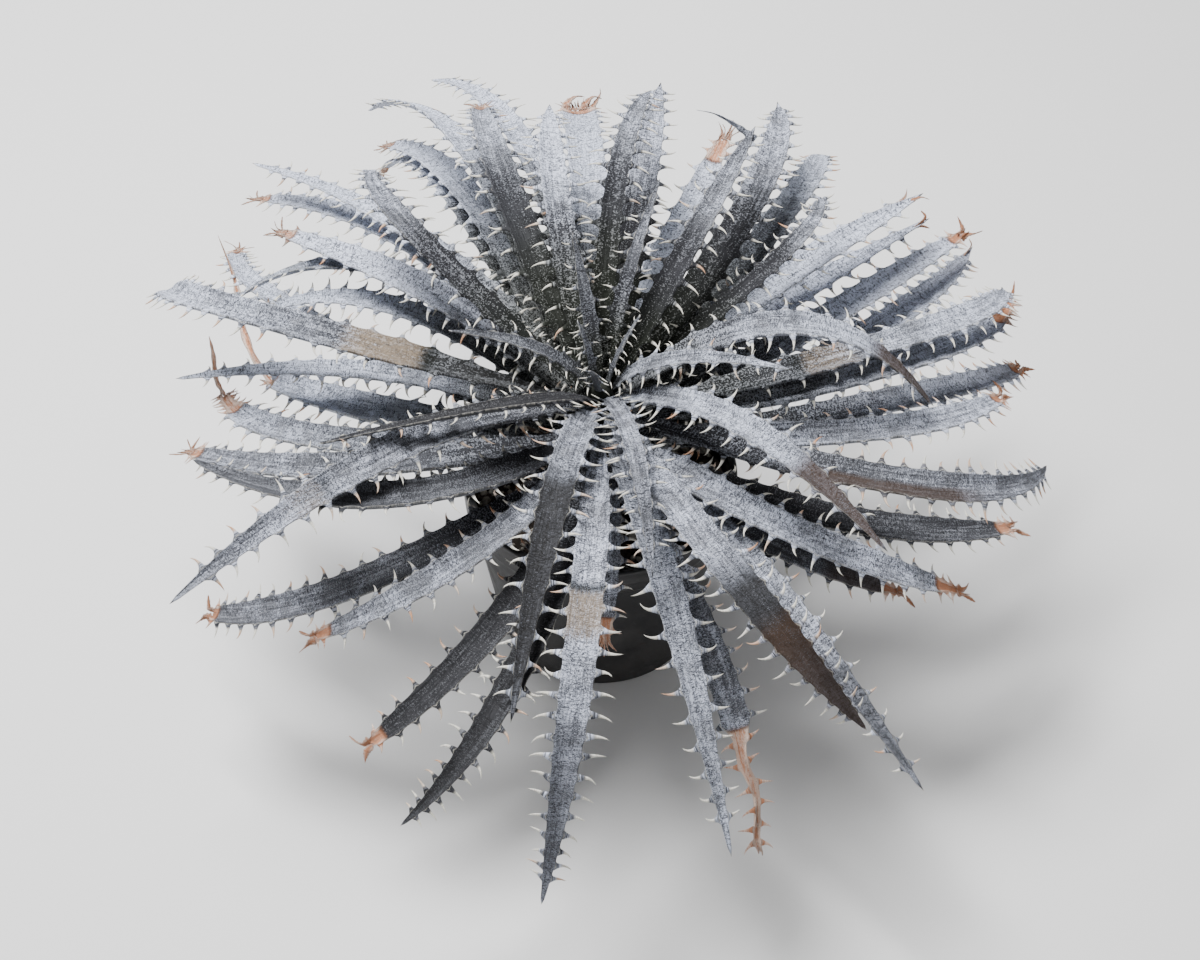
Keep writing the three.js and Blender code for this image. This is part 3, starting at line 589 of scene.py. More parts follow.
class Blade:
    """The fine form of one leaf, added to a shape."""

    def __init__(self, leaf, sizes, owner, neighbours, seed):
        self.leaf, self.sizes, self.owner, self.neighbours = leaf, sizes, owner, neighbours
        self.random = np.random.RandomState(seed)
        self.seed = float(seed)
        heart = lerp(SPINE_GROWTH["heart"], 1, min(1, leaf.number / SPINE_GROWTH["heart_leaves"]))
        self.spine_scale = min(1, SPINE_GROWTH["least"] + leaf.width / SPINE_GROWTH["broad"]) * heart
        self.waves = self.random.uniform(0, 2 * math.pi, 8)
        self.horns = self.random.uniform(0.25, 1.0, 3)
        self.hook_from = HOOK_FROM.get(leaf.number, self.random.uniform(*SPINE_FORM["hook_from"]))
        self.dried = leaf.ending in DRIED
        usual = OLD_BASE_END if self.dried else LIVE_END
        self.dead_from, self.dead_width, self.rust = DEAD.get(leaf.number, usual)
        # How far back in the rosette's cup a leaf stands, which weights its painted shade and painted light.
        self.cupped = lerp(CUP["least"], 1.0, (1 + leaf.outward[1]) / 2)
        self.dark_to = lerp(*CUP["dark_to"], self.cupped**2)
        self.stout = lerp(*SPINE_FORM["stout"], min(1, leaf.number / SPINE_FORM["stout_leaves"]))

    def shade(self, t):
        """The leaf's shade, with painted shade low down and painted light above on a leaf at the back."""
        grown = min(1, self.leaf.number / CUP["grown_leaves"])
        gain = lerp(*CUP["shade"], smooth(t, *CUP["between"]))
        return self.leaf.shade + grown * self.cupped**2 * gain

    def bare_and_shaded(self, t):
        """How dark a leaf is from its foot up: a thinner coat near the heart, and painted shade in the cup.
        """
        return (1 - smooth(t, CUP["dark_from"], self.dark_to)) * self.cupped

    def spine_centres(self):
        """How far along the leaf its spines stand, in millimetres."""
        leaf = self.leaf
        broad = min(1, leaf.width / SPACING["broad"])
        step = self.sizes.spine_spacing / MM * lerp(SPACING["narrow"], 1, broad)
        centres, y = [], step * SPACING["first"]
        while y < leaf.length * SPACING["dried_last" if self.dried else "last"]:
            centres.append(y)
            t = y / leaf.length
            here = step * lerp(1, CROWDING["share"], float(smooth(t, CROWDING["from"], 1)))
            if self.dried and t > self.dead_from - 0.01 and leaf.number != LONG_HUSK_LEAF:
                here = CROWDING["dried"]
            y += here * self.random.uniform(*SPACING["uneven"])
        return np.array(centres)

    def row_layout(self):
        """Rows along the leaf: share of the length, distance to the nearest spine (mm) and that
        spine's size; then each spine's first row and half width."""
        leaf = self.leaf
        centres = self.spine_centres()
        full = self.sizes.spine_base / MM / 2 * self.spine_scale
        gaps = np.diff(centres)
        before = np.concatenate([[centres[0] * 2], gaps])
        after = np.concatenate([gaps, [(leaf.length - centres[-1]) * 2]])
        halves = np.minimum(full, np.minimum(before, after) * SPINE_GROWTH["crowd"])
        t_centres = centres / leaf.length
        growth = lerp(SPINE_GROWTH["foot"], 1, smooth(t_centres, 0, SPINE_GROWTH["foot_to"]))
        growth = growth * lerp(1, SPINE_GROWTH["end"], smooth(t_centres, SPINE_GROWTH["end_from"], 1))
        growth = growth * self.random.uniform(*SPINE_GROWTH["uneven"], len(centres))
        y, first_rows = [0.0, centres[0] - halves[0] * 1.5], []
        for i, (centre, half) in enumerate(zip(centres, halves)):
            first_rows.append(len(y))
            y += list(centre + SPINE_ROWS * half)
            if i + 1 < len(centres):
                low, high = centre + half, centres[i + 1] - halves[i + 1]
                y += list(lerp(low, high, (np.arange(GAP_ROWS) + 1) / (GAP_ROWS + 1)))
        last = y[-1]
        y += list(lerp(last, leaf.length, np.array([0.2, 0.4, 0.6, 0.8, 1.0])))
        y = np.maximum.accumulate(np.array(y))
        nearest = np.abs(y[:, None] - centres[None]).argmin(1)
        offset = np.abs(y - centres[nearest])
        return y / leaf.length, offset, (growth * halves / full)[nearest], first_rows, halves, growth

    def surface(self, t, offset, size):
        """Positions and material values of every ring, from the foot to the end."""
        leaf = self.leaf
        u, lower = ring_layout()
        end_free = smooth(t, 0, 0.06) * (1 - smooth(t, 0.9, 0.96))
        shift = STAGGER / leaf.length * np.sign(u) * np.abs(u) ** 1.5
        tt = t[:, None] + shift[None] * end_free[:, None]
        width = leaf.widths(tt)
        rise, sink, thick = section_sizes(width)
        y = tt * leaf.length

        dead = smooth(tt, self.dead_from - 0.012, self.dead_from + 0.02)
        if self.dried:
            shrivel = smooth(tt, self.dead_from - 0.02, self.dead_from + 0.05)
            sink = sink * lerp(1, 0.4, shrivel)
            rise = rise * lerp(1, 1.1, shrivel)
            width = width * lerp(1, self.dead_width, shrivel)
        flare = 1.4 * size[:, None] * np.exp(-offset[:, None] / 1.4) * np.minimum(1, width / 11)
        half = width / 2 * 0.95 + flare * np.abs(u) ** 9
        x = u * half
        w1, w2, w3, w4 = self.waves[:4]
        (short, short_length), (shorter, shorter_length) = UNEVEN["short"], UNEVEN["shorter"]
        wave = short * np.sin(y / short_length + w1 + u * 2)
        wave = wave + shorter * np.sin(y / shorter_length + w2 - u * 3)
        lane = UNEVEN["lane"] * np.cos(u * math.pi * 5 + w3)
        warp, warp_length = UNEVEN["warp"]
        top = rise * (SECTION["channel"] / SECTION["margin_rise"] + 1.2 * np.abs(u) ** 2.2)
        foot = rise - thick
        bottom = foot - (foot + sink) * (1 - np.abs(u) ** 2.6) ** 0.85
        inner = 1 - np.abs(u) ** 4
        z = np.where(lower, bottom, top) + (wave + lane) * inner * width / SECTION["width"]
        z = z + warp * np.sin(y / warp_length + w4) * u * width / SECTION["width"]

        reach = np.zeros_like(tt)
        if self.dried:
            left, middle, right = self.horns
            fork = smooth(t, FORK_FROM, 1)[:, None]
            horn = np.exp(-(((np.abs(u) - 0.8) / 0.22) ** 2)) * np.where(u < 0, left, right)
            reach = (7.5 * horn + 2.0 * middle * np.exp(-(((u - 0.1) / 0.25) ** 2)) - 4.0) * fork**1.5
            pinch = 0.7 * fork * (np.abs(u) > 0.45)
            x = lerp(x, np.sign(u) * 0.8 * half, pinch)
            z = np.where(lower, lerp(z, top - 0.8, fork), z)
            z = z + fork * horn * np.sin(w1) * 1.2

        # A long dead end is twisted and wavy.
        long_end = smooth(1 - self.dead_from, 0.1, 0.3)
        writhe = dead * smooth(tt, self.dead_from, self.dead_from + 0.1) * long_end
        turn = writhe * 0.8 * np.sin(y / 8 + w2)
        x, z = x * np.cos(turn) - z * np.sin(turn), x * np.sin(turn) + z * np.cos(turn)
        x = x + writhe * np.sin(y / 6 + w3)
        at, along, up, across = leaf.frames(tt)
        points = at + across * x[..., None] + up * z[..., None] + along * reach[..., None]
        # Darker near the heart: partly a thinner coat, partly painted shade in the cup.
        deep = self.bare_and_shaded(tt)
        rim = smooth(np.abs(u), 0.93, 1.0) * (0.42 + 0.3 * np.exp(-offset[:, None] / 2.0))
        rim = lerp(rim * (1 - 0.85 * deep), smooth(np.abs(u), 0.35, 0.95), dead)
        tan = marked("tan", leaf.number, tt)
        scorch = np.zeros_like(tt)
        for number, low, _, strength in TAN:
            if number == leaf.number:
                scorch += strength * np.exp(-(((tt - low) * leaf.length / MARK_EDGE["scorch"]) ** 2))
        near_side = smooth(u, -0.2, 0.1) if leaf.number == HALF_STAINED_LEAF else 1.0
        brown = marked("brown", leaf.number, tt) * near_side

        def spread(value):
            return np.broadcast_to(value, tt.shape).ravel()

        return points.reshape(-1, 3), {
            "place": (spread(x), spread(y), self.seed),
            "tone": (spread(dead), spread(deep), spread(rim)),
            "mark": (spread(scorch), 0.0, spread(lower.astype(float))),
            "wear": (spread(tan), spread(brown), spread(marked("charred", leaf.number, tt))),
            "coat": (spread(self.shade(tt)), leaf.smoothness, self.rust),
        }

    def spine_curve(self, root, frame_here, lean, hook, side, lift):
        """Places along a spine of length 1, which leaves the margin square and then hooks."""
        _, along, up, across = frame_here
        rise = math.radians(lift)
        share = (np.arange(CURVE_STEPS) + 0.5) / CURVE_STEPS
        angle = (lean + hook * share**1.5)[:, None]
        step = (across * side * np.cos(angle) + along * np.sin(angle)) * math.cos(rise)
        step = step + up * (math.sin(rise) - SPINE_FORM["sink"])
        return np.concatenate([[root * 0], np.cumsum(step, 0) / CURVE_STEPS])

    def spine(self, shape, base, root, t, side, dead, half, growth):
        """A flattened hook grown out of the margin, or nothing where none fits."""
        leaf, random = self.leaf, self.random
        frame_here = leaf.frames(np.array(t))
        _, along, up, across = frame_here
        full = self.sizes.spine_length / MM * self.spine_scale * growth
        if leaf.number != LONG_HUSK_LEAF:
            full *= lerp(1, SPINE_GROWTH["dead"], dead)
        forwards = t > self.hook_from + random.uniform(-0.12, 0.12)
        hook = (1 if forwards else -1) * random.uniform(*SPINE_FORM["hook"]) * self.sizes.hook_angle
        lean = -SPINE_FORM["lean"] * np.sign(hook) + random.uniform(-0.2, 0.2)
        if self.dried and t > self.dead_from:
            lean = random.uniform(*SPINE_FORM["dead_lean"])
            hook = random.uniform(*SPINE_FORM["dead_hook"])
        droop = random.uniform(-SPINE_FORM["droop"], SPINE_FORM["droop"])
        clear = None
        for part, lift in SPINE_TRIES:
            curve = root + self.spine_curve(root, frame_here, lean, hook, side, lift + droop) * full * part
            samples = curve[np.rint(SPINE_SAMPLES * CURVE_STEPS).astype(int)]
            if self.neighbours is None or self.neighbours.clear_of(self.owner, samples):
                clear = curve
                break
        if clear is None:
            return False
        if self.neighbours is not None:
            self.neighbours.add(self.owner, samples)

        rows = len(SPINE_ROWS)
        second = 1.0 if side < 0 else -1.0
        x = np.concatenate([SPINE_ROWS, SPINE_ROWS[::-1]])
        z = np.concatenate([np.full(rows, second), np.full(rows, -second)])
        roundness = np.sqrt(1 - 0.85 * x * x)
        burnt = float(random.uniform() < leaf.burnt) * random.uniform(0.4, 1.0)
        y = t * leaf.length
        # The spine's root takes the blade's darkening here, partly painted shade.
        deep = float(self.bare_and_shaded(t))
        margin = side * SPINE_FORM["margin"]
        layers = {
            "coat": (float(self.shade(t)), leaf.smoothness, burnt),
            "wear": (0.0, float(marked("brown", leaf.number, np.array([t]))[0]) * 0.5, 0.0),
        }
        previous = base
        scale = half / SPINE_FORM["half_base"]
        for s in SPINE_RINGS:
            place = s * CURVE_STEPS
            low = min(int(place), CURVE_STEPS - 1)
            centre = lerp(clear[low], clear[low + 1], place - low)
            tangent = unit(clear[min(low + 1, CURVE_STEPS)] - clear[low])
            flat = unit(along - tangent * (along @ tangent))
            normal = unit(up - tangent * (up @ tangent) - flat * (up @ flat))
            half_wide = scale * self.stout * (0.60 * (1 - s) ** 0.8 + 1.0 * math.exp(-s / 0.16))
            half_thick = 0.5 * min(1.0, scale) * (1 - s) ** 0.65
            points = centre + flat * (x * half_wide)[:, None] + normal * (z * roundness * half_thick)[:, None]
            first = shape.add(
                points,
                place=(margin + s * full * side, y, self.seed),
                tone=(dead, deep, float(smooth(s, 0.05, 0.55))),
                mark=(0.0, s, 0.0),
                **layers,
            )
            ring = np.arange(first, first + 2 * rows)
            shape.skin(np.stack([previous, ring]))
            previous = ring
        apex = shape.add(
            [clear[-1]],
            place=(margin + full * side, y, self.seed),
            tone=(dead, 0.0, 1.0),
            mark=(0.0, 1.0, 0.0),
            **layers,
        )
        shape.fan(previous, apex)
        return True

    def grow(self, shape):
        t, offset, size, spine_rows, halves, growth = self.row_layout()
        points, layers = self.surface(t, offset, size)
        first = shape.add(points, **layers)
        rows = len(t)
        index = first + np.arange(rows * RING).reshape(rows, RING)
        quads = between_rings(index)
        keep = np.ones(quads.shape[:2], bool)
        span = len(SPINE_ROWS) - 1
        dead = layers["tone"][0].reshape(rows, RING)
        for row, half, grown in zip(spine_rows, halves, growth):
            for side, column in ((1, ACROSS - 1), (-1, RING - 1)):
                beyond = (column + 1) % RING
                loop = np.concatenate([
                    index[row:row + span + 1, beyond],
                    index[row:row + span + 1, column][::-1],
                ])
                root = points[loop - first].mean(0)
                where = t[row + span // 2] + side * STAGGER / self.leaf.length
                dead_here = float(dead[row + span // 2, column])
                if self.spine(shape, loop, root, where, side, dead_here, half, grown):
                    keep[row:row + span, column] = False
        shape.quads += quads[keep].tolist()

        foot, end = index[0], index[-1]
        upper = np.arange(ACROSS - 1)
        under = RING - 1 - upper
        shape.quads += np.stack([foot[upper], foot[under], foot[under - 1], foot[upper + 1]], 1).tolist()
        if self.dried:
            shape.quads += np.stack([end[upper], end[upper + 1], end[under - 1], end[under]], 1).tolist()
        else:
            at, along, _, _ = self.leaf.frames(np.array(1.0))
            tip = at + along * self.leaf.widths(np.array(1.0)) * APEX_REACH
            apex = shape.add(
                [tip], place=(0.0, self.leaf.length, self.seed), tone=(0.0, 0.0, 0.8), mark=(0.0, 0.6, 0.0)
            )
            shape.fan(end, apex)


def fray(shape, blade, random):
    """The spines that a dried end splits into."""
    leaf = blade.leaf
    at, along, up, across = leaf.frames(np.array(1.0))
    half = float(leaf.widths(np.array(1.0))) / 2 * blade.dead_width
    rusty = blade.rust >= FRAY["rusty"]
    sides = [-0.85, 0.85] if rusty else list(np.linspace(-0.9, 0.9, 3 + int(half)))
    for k, u in enumerate(sides):
        turn = u * FRAY["spread"] + random.uniform(-0.25, 0.25)
        out = along * math.cos(turn) + across * math.sin(turn) + up * random.uniform(-0.1, 0.45)
        curl = across * u * random.uniform(0.2, 1.6) + up * random.uniform(-0.3, 1.0)
        size = FRAY["length"] * random.uniform(0.6, 1.15)
        root = at + across * u * half * 0.9 - along * FRAY["inside"]
        places = [root, root + along * FRAY["inside"], root + along * FRAY["inside"] + out * size * 0.5]
        places.append(places[2] + (out + curl) * size * 0.4)
        wither(shape, places, FRAY["prong" if rusty else "hair"], 1.0, blade.rust, leaf.number + k)


def add_strips(shape, leaf):
    """The withered strips that carry on from a leaf's end."""
    end = leaf.places(np.array(1.0))
    for number, width, dead, rust, offsets in WITHERED:
        if number == leaf.number:
            places = [
                end + PLAN_X * right + PLAN_Y * above + EASE * front
                for right, above, front in offsets
            ]
            wither(shape, places, width, dead, rust, number)


# A withered strip: points round it, rings between two of its places, and how it is twisted.
STRIP = {"round": 8, "steps": 7, "thick": 0.36, "twist": 2.4}


def wither(shape, places, width, dead, rust, seed):
    """A thin, twisted strip of dead tissue through some places, narrowing to its end."""
    places = np.array(places, float)
    padded = np.concatenate([[2 * places[0] - places[1]], places, [2 * places[-1] - places[-2]]])
    path = []
    for k in range(len(places) - 1):
        a, b, c, d = padded[k:k + 4]
        for t in np.arange(STRIP["steps"]) / STRIP["steps"]:
            path.append(0.5 * (2 * b + (c - a) * t + (2 * a - 5 * b + 4 * c - d) * t**2
                               + (3 * b - a - 3 * c + d) * t**3))
    path = np.array(path + [places[-1]])
    along = unit(np.gradient(path, axis=0))
    side = unit(np.cross(along, EASE))
    normal = np.cross(side, along)
    share = np.linspace(0, 1, len(path))
    turn = (STRIP["twist"] * share + seed)[:, None]
    first_axis = side * np.cos(turn) + normal * np.sin(turn)
    second_axis = np.cross(along, first_axis)
    half = (width / 2 * (1 - share) ** 0.7 + 0.12)[:, None, None]
    angle = (np.arange(STRIP["round"]) / STRIP["round"] * 2 * math.pi)[None, :, None]
    ripple = 1 + 0.15 * np.sin(share * 40 + seed)[:, None, None]
    points = path[:, None] + half * ripple * (
        first_axis[:, None] * np.cos(angle) + second_axis[:, None] * np.sin(angle) * STRIP["thick"]
    )
    count = STRIP["round"]
    y = np.repeat(share * 40, count)
    edge = np.tile(np.abs(np.cos(angle)).ravel(), len(path))
    first = shape.add(
        points.reshape(-1, 3), place=(np.tile(angle.ravel(), len(path)), y, float(seed)),
        tone=(dead, 0.0, edge * dead), coat=(0.3, 0.2, rust),
    )
    index = first + np.arange(len(path) * count).reshape(len(path), count)
    shape.skin(index)
    upper = np.arange(1, count - 1)
    for ring, turned in ((index[0], 1), (index[-1], -1)):
        fan = np.stack([np.full(len(upper), ring[0]), ring[upper + 1], ring[upper]], 1)
        shape.triangles += fan[:, ::turned].tolist()


# ------------------------------------------------------------------ materials


class Wire:
    """A socket of a finish. Sums on it are written as Python expressions."""

    def __init__(self, finish, socket):
        self.finish, self.socket = finish, socket

    def sum(self, operation, *values):
        return self.finish.node("ShaderNodeMath", {"operation": operation}, dict(enumerate(values)))

    def __add__(self, other):
        return self.sum("ADD", self, other)

    def __radd__(self, other):
        return self.sum("ADD", other, self)

    def __sub__(self, other):
        return self.sum("SUBTRACT", self, other)

    def __rsub__(self, other):
        return self.sum("SUBTRACT", other, self)

    def __mul__(self, other):
        return self.sum("MULTIPLY", self, other)

    def __rmul__(self, other):
        return self.sum("MULTIPLY", other, self)

    def __abs__(self):
        return self.sum("ABSOLUTE", self)


class Finish:
    """A material with one Principled shader, built from expressions."""

    def __init__(self, name):
        self.material = bpy.data.materials.new(name)
        self.material.use_nodes = True
        self.tree = self.material.node_tree
        self.shader = self.tree.nodes["Principled BSDF"]

    def node(self, kind, settings=None, sockets=None, output=0):
        """Adds a node: its settings first, then the values or wires of its sockets."""
        made = self.tree.nodes.new(kind)
        for key, value in (settings or {}).items():
            setattr(made, key, value)
        for key, value in (sockets or {}).items():
            self.feed(made.inputs[key], value)
        return Wire(self, made.outputs[output])

    def feed(self, socket, value):
        if isinstance(value, Wire):
            self.tree.links.new(value.socket, socket)
        elif socket.type == "RGBA" and len(value) == 3:
            socket.default_value = (*value, 1)
        else:
            socket.default_value = value

    def constant(self, **values):
        for name, value in values.items():
            self.feed(self.shader.inputs[name.replace("_", " ")], value)

    def surface(self, **wires):
        for name, wire in wires.items():
            self.feed(self.shader.inputs[name.replace("_", " ")], wire)

    def attribute(self, name):
        return self.node("ShaderNodeAttribute", {"attribute_name": name}, output=1)

    def parts(self, vector):
        return [self.node("ShaderNodeSeparateXYZ", None, {0: vector}, output=i) for i in range(3)]

    def vector(self, x, y, z):
        return self.node("ShaderNodeCombineXYZ", None, {0: x, 1: y, 2: z})

    def noise(self, where, scale, detail=2.0, roughness=0.5, distortion=0.0):
        return self.node("ShaderNodeTexNoise", {"noise_dimensions": "3D"}, {
            "Vector": where, "Scale": scale, "Detail": detail,
            "Roughness": roughness, "Distortion": distortion,
        })

    def ramp(self, value, low, high):
        """0 below low and 1 above high, smooth between them."""
        return self.node("ShaderNodeMapRange", {"interpolation_type": "SMOOTHSTEP"}, {
            "Value": value, "From Min": low, "From Max": high,
        })

    def blend(self, share, first, second):
        return self.node("ShaderNodeMix", {"data_type": "RGBA"}, {0: share, 6: first, 7: second}, output=2)

    def bump(self, height, depth, strength=1.0):
        return self.node("ShaderNodeBump", None, {"Strength": strength, "Distance": depth, "Height": height})


def leaf_finish(colours):
    """Silver scales on dark tissue: peppered, lined along the blade, cracked across it."""
    finish = Finish("dyckia_leaf")
    x, y, seed = finish.parts(finish.attribute("place"))
    # deep and shade mix each leaf's own tone with painted shade in the cup and painted light above it.
    dead, deep, rim = finish.parts(finish.attribute("tone"))
    scorch, hook, under = finish.parts(finish.attribute("mark"))
    tan, brown, charred = finish.parts(finish.attribute("wear"))
    shade, smoothness, rust = finish.parts(finish.attribute("coat"))

    streak = finish.noise(finish.vector(x * 1.9, y * 0.07, seed * 3.1), 1.0, 3.0, 0.6)
    cloud = finish.noise(finish.vector(x, y, seed * 7.3), 0.09, 3.0, 0.6)
    fine = finish.noise(finish.vector(x * 2.0, y * 2.3, seed * 5.7), 1.0, 1.5, 0.7)
    coarse = finish.noise(finish.vector(x * 1.35, y * 1.6, seed * 5.7), 1.0, 1.5, 0.7)
    bare_and_shaded = finish.ramp(deep - shade * 0.35, 0.0, 0.45)
    pepper = fine + (coarse - fine) * bare_and_shaded
    lane = finish.noise(finish.vector(x * 0.55, y * 0.03, seed * 4.1), 1.0, 1.0)
    wrinkle = finish.noise(finish.vector(x * 0.6, y * 2.6, seed * 1.9), 1.0, 2.0, 0.6, 0.4)
    grain = finish.noise(finish.vector(x, y, seed), 4.0, 2.0, 0.6)

    # Wherever this noise crosses its middle value, a thin crack runs mostly across the blade.
    contour = finish.noise(finish.vector(x * 0.30 + cloud * 1.5, y * 0.72, seed * 2.3), 1.0, 2.0, 0.55)
    seam = finish.noise(finish.vector(x * 0.85 + cloud, y * 0.10, seed * 6.1), 1.0, 2.0, 0.55)
    crack = 1 - finish.ramp(abs(contour - 0.5), 0.006, 0.030)
    crack = crack * finish.ramp(cloud + shade * 0.1, 0.32, 0.50) * (1 - under * 0.6)
    crack = crack + (1 - finish.ramp(abs(seam - 0.5), 0.004, 0.024)) * 0.45 * (1 - crack)

    peppered = pepper * 0.62 + wrinkle * 0.26 + streak * 0.12
    # More dark tissue shows where deep is high and shade is low, which is in part painted shade.
    threshold = 0.486 + deep * 0.048 - shade * 0.060 - smoothness * 0.045
    threshold = threshold + (0.5 - cloud) * 0.14 + (lane - 0.5) * 0.22
    dark_share = 1 - finish.ramp(peppered - threshold, -0.016, 0.018)

    # Paler where shade is high, duller and darker where deep is high or shade low: partly painted light and
    # shade.
    thick_coat_and_light = finish.ramp(cloud + shade * 0.35 + (streak - 0.5) * 0.4 - deep * 0.35, 0.30, 0.85)
    silver = finish.blend(thick_coat_and_light, colours.silver, colours.pale)
    worn_and_shaded = finish.ramp(0.0 - shade, 0.0, 1.0) * (0.8 - deep * 0.4)
    silver = finish.blend(worn_and_shaded, silver, colours.dull)
    silver = finish.blend(smoothness * 0.4, silver, colours.bluish)
    silver = finish.blend(finish.ramp(deep, 0.30, 1.0) * 0.85, silver, colours.olive)
    deep_share = finish.ramp(deep + (cloud - 0.5) * 0.3, 0.4, 0.95)
    tissue = finish.blend(deep_share, colours.tissue, colours.deep_tissue)
    living = finish.blend(dark_share * (0.70 + bare_and_shaded * 0.25 - smoothness * 0.3), silver, tissue)
    living = finish.blend(crack * (0.85 - deep * 0.4), living, tissue)
    living = finish.blend(under * 0.3, living, colours.under)

    fibre = finish.noise(finish.vector(x * 1.8, y * 0.22, seed), 1.3, 4.0, 0.7)
    healed = tan * finish.ramp(fibre + (tan - 0.7) * 0.5, 0.36, 0.60)
    living = finish.blend(healed * 0.75, living, colours.tan)
    living = finish.blend(scorch * finish.ramp(cloud, 0.3, 0.5) * 0.9, living, colours.deep_tissue)
    charcoal = charred * finish.ramp(cloud * 0.3 + pepper * 0.7, 0.28, 0.48)
    living = finish.blend(charcoal * 0.95, living, colours.charcoal)
    stain = brown * finish.ramp(pepper * 0.7 + cloud * 0.3 + (brown - 0.6) * 0.2, 0.34, 0.56)
    living = finish.blend(stain * 0.92, living, colours.stain)

    edge = finish.ramp(rim, 0.1, 0.9)
    fibrous = finish.ramp((fibre - 0.5) * 3.0 + edge * 0.5 + (1 - rust) * 0.5 + grain * 0.3, 0.30, 0.95)
    husk = finish.blend(fibrous, colours.husk, colours.pale_husk)
    husk = finish.blend(finish.ramp(pepper * 0.3 + fibre * 0.7, 0.54, 0.62) * 0.45, husk, colours.rust)
    burn_line = finish.ramp(dead, 0.05, 0.4) * (1 - finish.ramp(dead, 0.6, 0.95))
    husk = finish.blend(burn_line * 0.8, husk, colours.rust)
    dead_share = finish.ramp(dead + (pepper - 0.5) * 0.8 + (fibre - 0.5) * 0.6, 0.3, 0.7)

    bone = finish.blend(finish.ramp(grain, 0.3, 0.7), colours.ivory, colours.pale_ivory)
    bone = finish.blend(rust * finish.ramp(hook + (cloud - 0.5) * 0.6, 0.05, 0.6), bone, colours.amber)
    bone_share = finish.ramp(rim + (pepper - 0.5) * 0.25, 0.34, 0.85) * (1 - dead)

    colour = finish.blend(dead_share, living, husk)
    colour = finish.blend(bone_share * 0.95, colour, bone)

    ridge = finish.node("ShaderNodeMath", {"operation": "SINE"}, {0: x * 4.2 + cloud * 5.0})
    relief = (1 - dark_share) * 0.5 + streak * 0.6 + ridge * 0.12 - crack * 0.9 + grain * 0.2 + wrinkle * 0.5
    relief = relief * (1 - bone_share * 0.85) + fibre * dead_share * 1.6
    finish.surface(
        Base_Color=colour,
        Roughness=0.58 + (1 - dark_share) * 0.2 - bone_share * 0.2,
        Normal=finish.bump(relief, 0.0005, 0.9),
    )
    finish.constant(Specular_IOR_Level=0.08)
    return finish.material


def bark_finish(colours):
    """Dry, fibrous stem tissue."""
    finish = Finish("dyckia_stem")
    where = finish.node("ShaderNodeTexCoord", output=3)
    across = finish.node("ShaderNodeVectorMath", {"operation": "MULTIPLY"}, {0: where, 1: (420, 420, 90)})
    fibre = finish.noise(across, 1.0, 5.0, 0.65)
    patch = finish.noise(where, 120.0, 2.0)
    colour = finish.blend(finish.ramp(fibre, 0.35, 0.65), colours.bark, colours.husk)
    colour = finish.blend(finish.ramp(patch, 0.45, 0.7) * 0.6, colour, colours.deep_tissue)
    _, _, z = finish.parts(where)
    colour = finish.blend(finish.ramp(z, 0.095, 0.120), colour, colours.deep_tissue)
    finish.surface(
        Base_Color=colour,
        Roughness=0.75 + fibre * 0.2,
        Normal=finish.bump(fibre + patch * 0.5, 0.0006),
    )
    return finish.material


def soil_finish(colours):
    """Damp potting mix, and the grit in it, which its own tone tells apart."""
    finish = Finish("potting_mix")
    where = finish.node("ShaderNodeTexCoord", output=3)
    grit, _, shade = finish.parts(finish.attribute("tone"))
    crumbs = finish.noise(where, 420.0, 5.0, 0.7)
    damp = finish.noise(where, 45.0, 2.0)
    fine = finish.noise(where, 2200.0, 3.0, 0.6)
    earth = finish.blend(finish.ramp(crumbs, 0.35, 0.7), colours.dark_soil, colours.soil)
    earth = finish.blend(finish.ramp(damp, 0.4, 0.65) * 0.4, earth, colours.dark_soil)
    stone = finish.blend(shade, colours.grit, colours.pale_grit)
    stone = finish.blend(finish.ramp(fine, 0.5, 0.75) * 0.45, stone, colours.soil)
    finish.surface(
        Base_Color=finish.blend(grit, earth, stone),
        Roughness=0.8 + crumbs * 0.18,
        Normal=finish.bump(crumbs * 0.7 + fine * 0.3, 0.0009),
    )
    return finish.material


def pot_finish(colours):
    """Black moulded plastic, a little dusty, with dried splashes of soil on it."""
    finish = Finish("nursery_pot")
    where = finish.node("ShaderNodeTexCoord", output=3)
    _, _, z = finish.parts(where)
    skin = finish.noise(where, 1400.0, 2.0, 0.5)
    dust = finish.noise(where, 38.0, 4.0, 0.65)
    splash = finish.noise(where, 210.0, 3.0, 0.7)
    height = finish.ramp(z, 0.0, 0.094)
    dusty = finish.ramp(dust + (1 - height) * 0.12, 0.48, 0.72)
    spots = finish.ramp(splash, 0.64, 0.72) * finish.ramp(dust, 0.4, 0.6)
    colour = finish.blend(dusty * 0.35, colours.pot, colours.pot_dust)
    colour = finish.blend(spots * 0.5, colour, colours.soil)
    finish.surface(
        Base_Color=colour,
        Roughness=0.38 + dusty * 0.28 + spots * 0.2,
        Normal=finish.bump(skin + splash * 0.4, 0.00012, 0.6),
    )
    finish.constant(Specular_IOR_Level=0.45)
    return finish.material


def floor_finish(colours):
    """Pale studio floor, faintly mottled."""
    finish = Finish("studio_floor")
    where = finish.node("ShaderNodeTexCoord", output=3)
    mottle = finish.noise(where, 3.0, 3.0)
    finish.surface(
        Base_Color=finish.blend(mottle * 0.25, colours.floor, (1.0, 1.0, 1.0)),
        Roughness=0.7 + mottle * 0.15,
    )
    return finish.material


# ------------------------------------------------------------------ pieces


def dress(name, mesh, finish, slot, *nodes):
    """Puts a made mesh in place of the solids that it stands for."""
    piece = bpy.data.objects.new(name, mesh)
    mesh.materials.append(finish)
    bpy.context.scene.collection.objects.link(piece)
    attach(piece, BODY)
    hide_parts(*nodes)
    return piece


def material(name, maker, colours):
    return bpy.data.materials.get(name) or maker(colours)


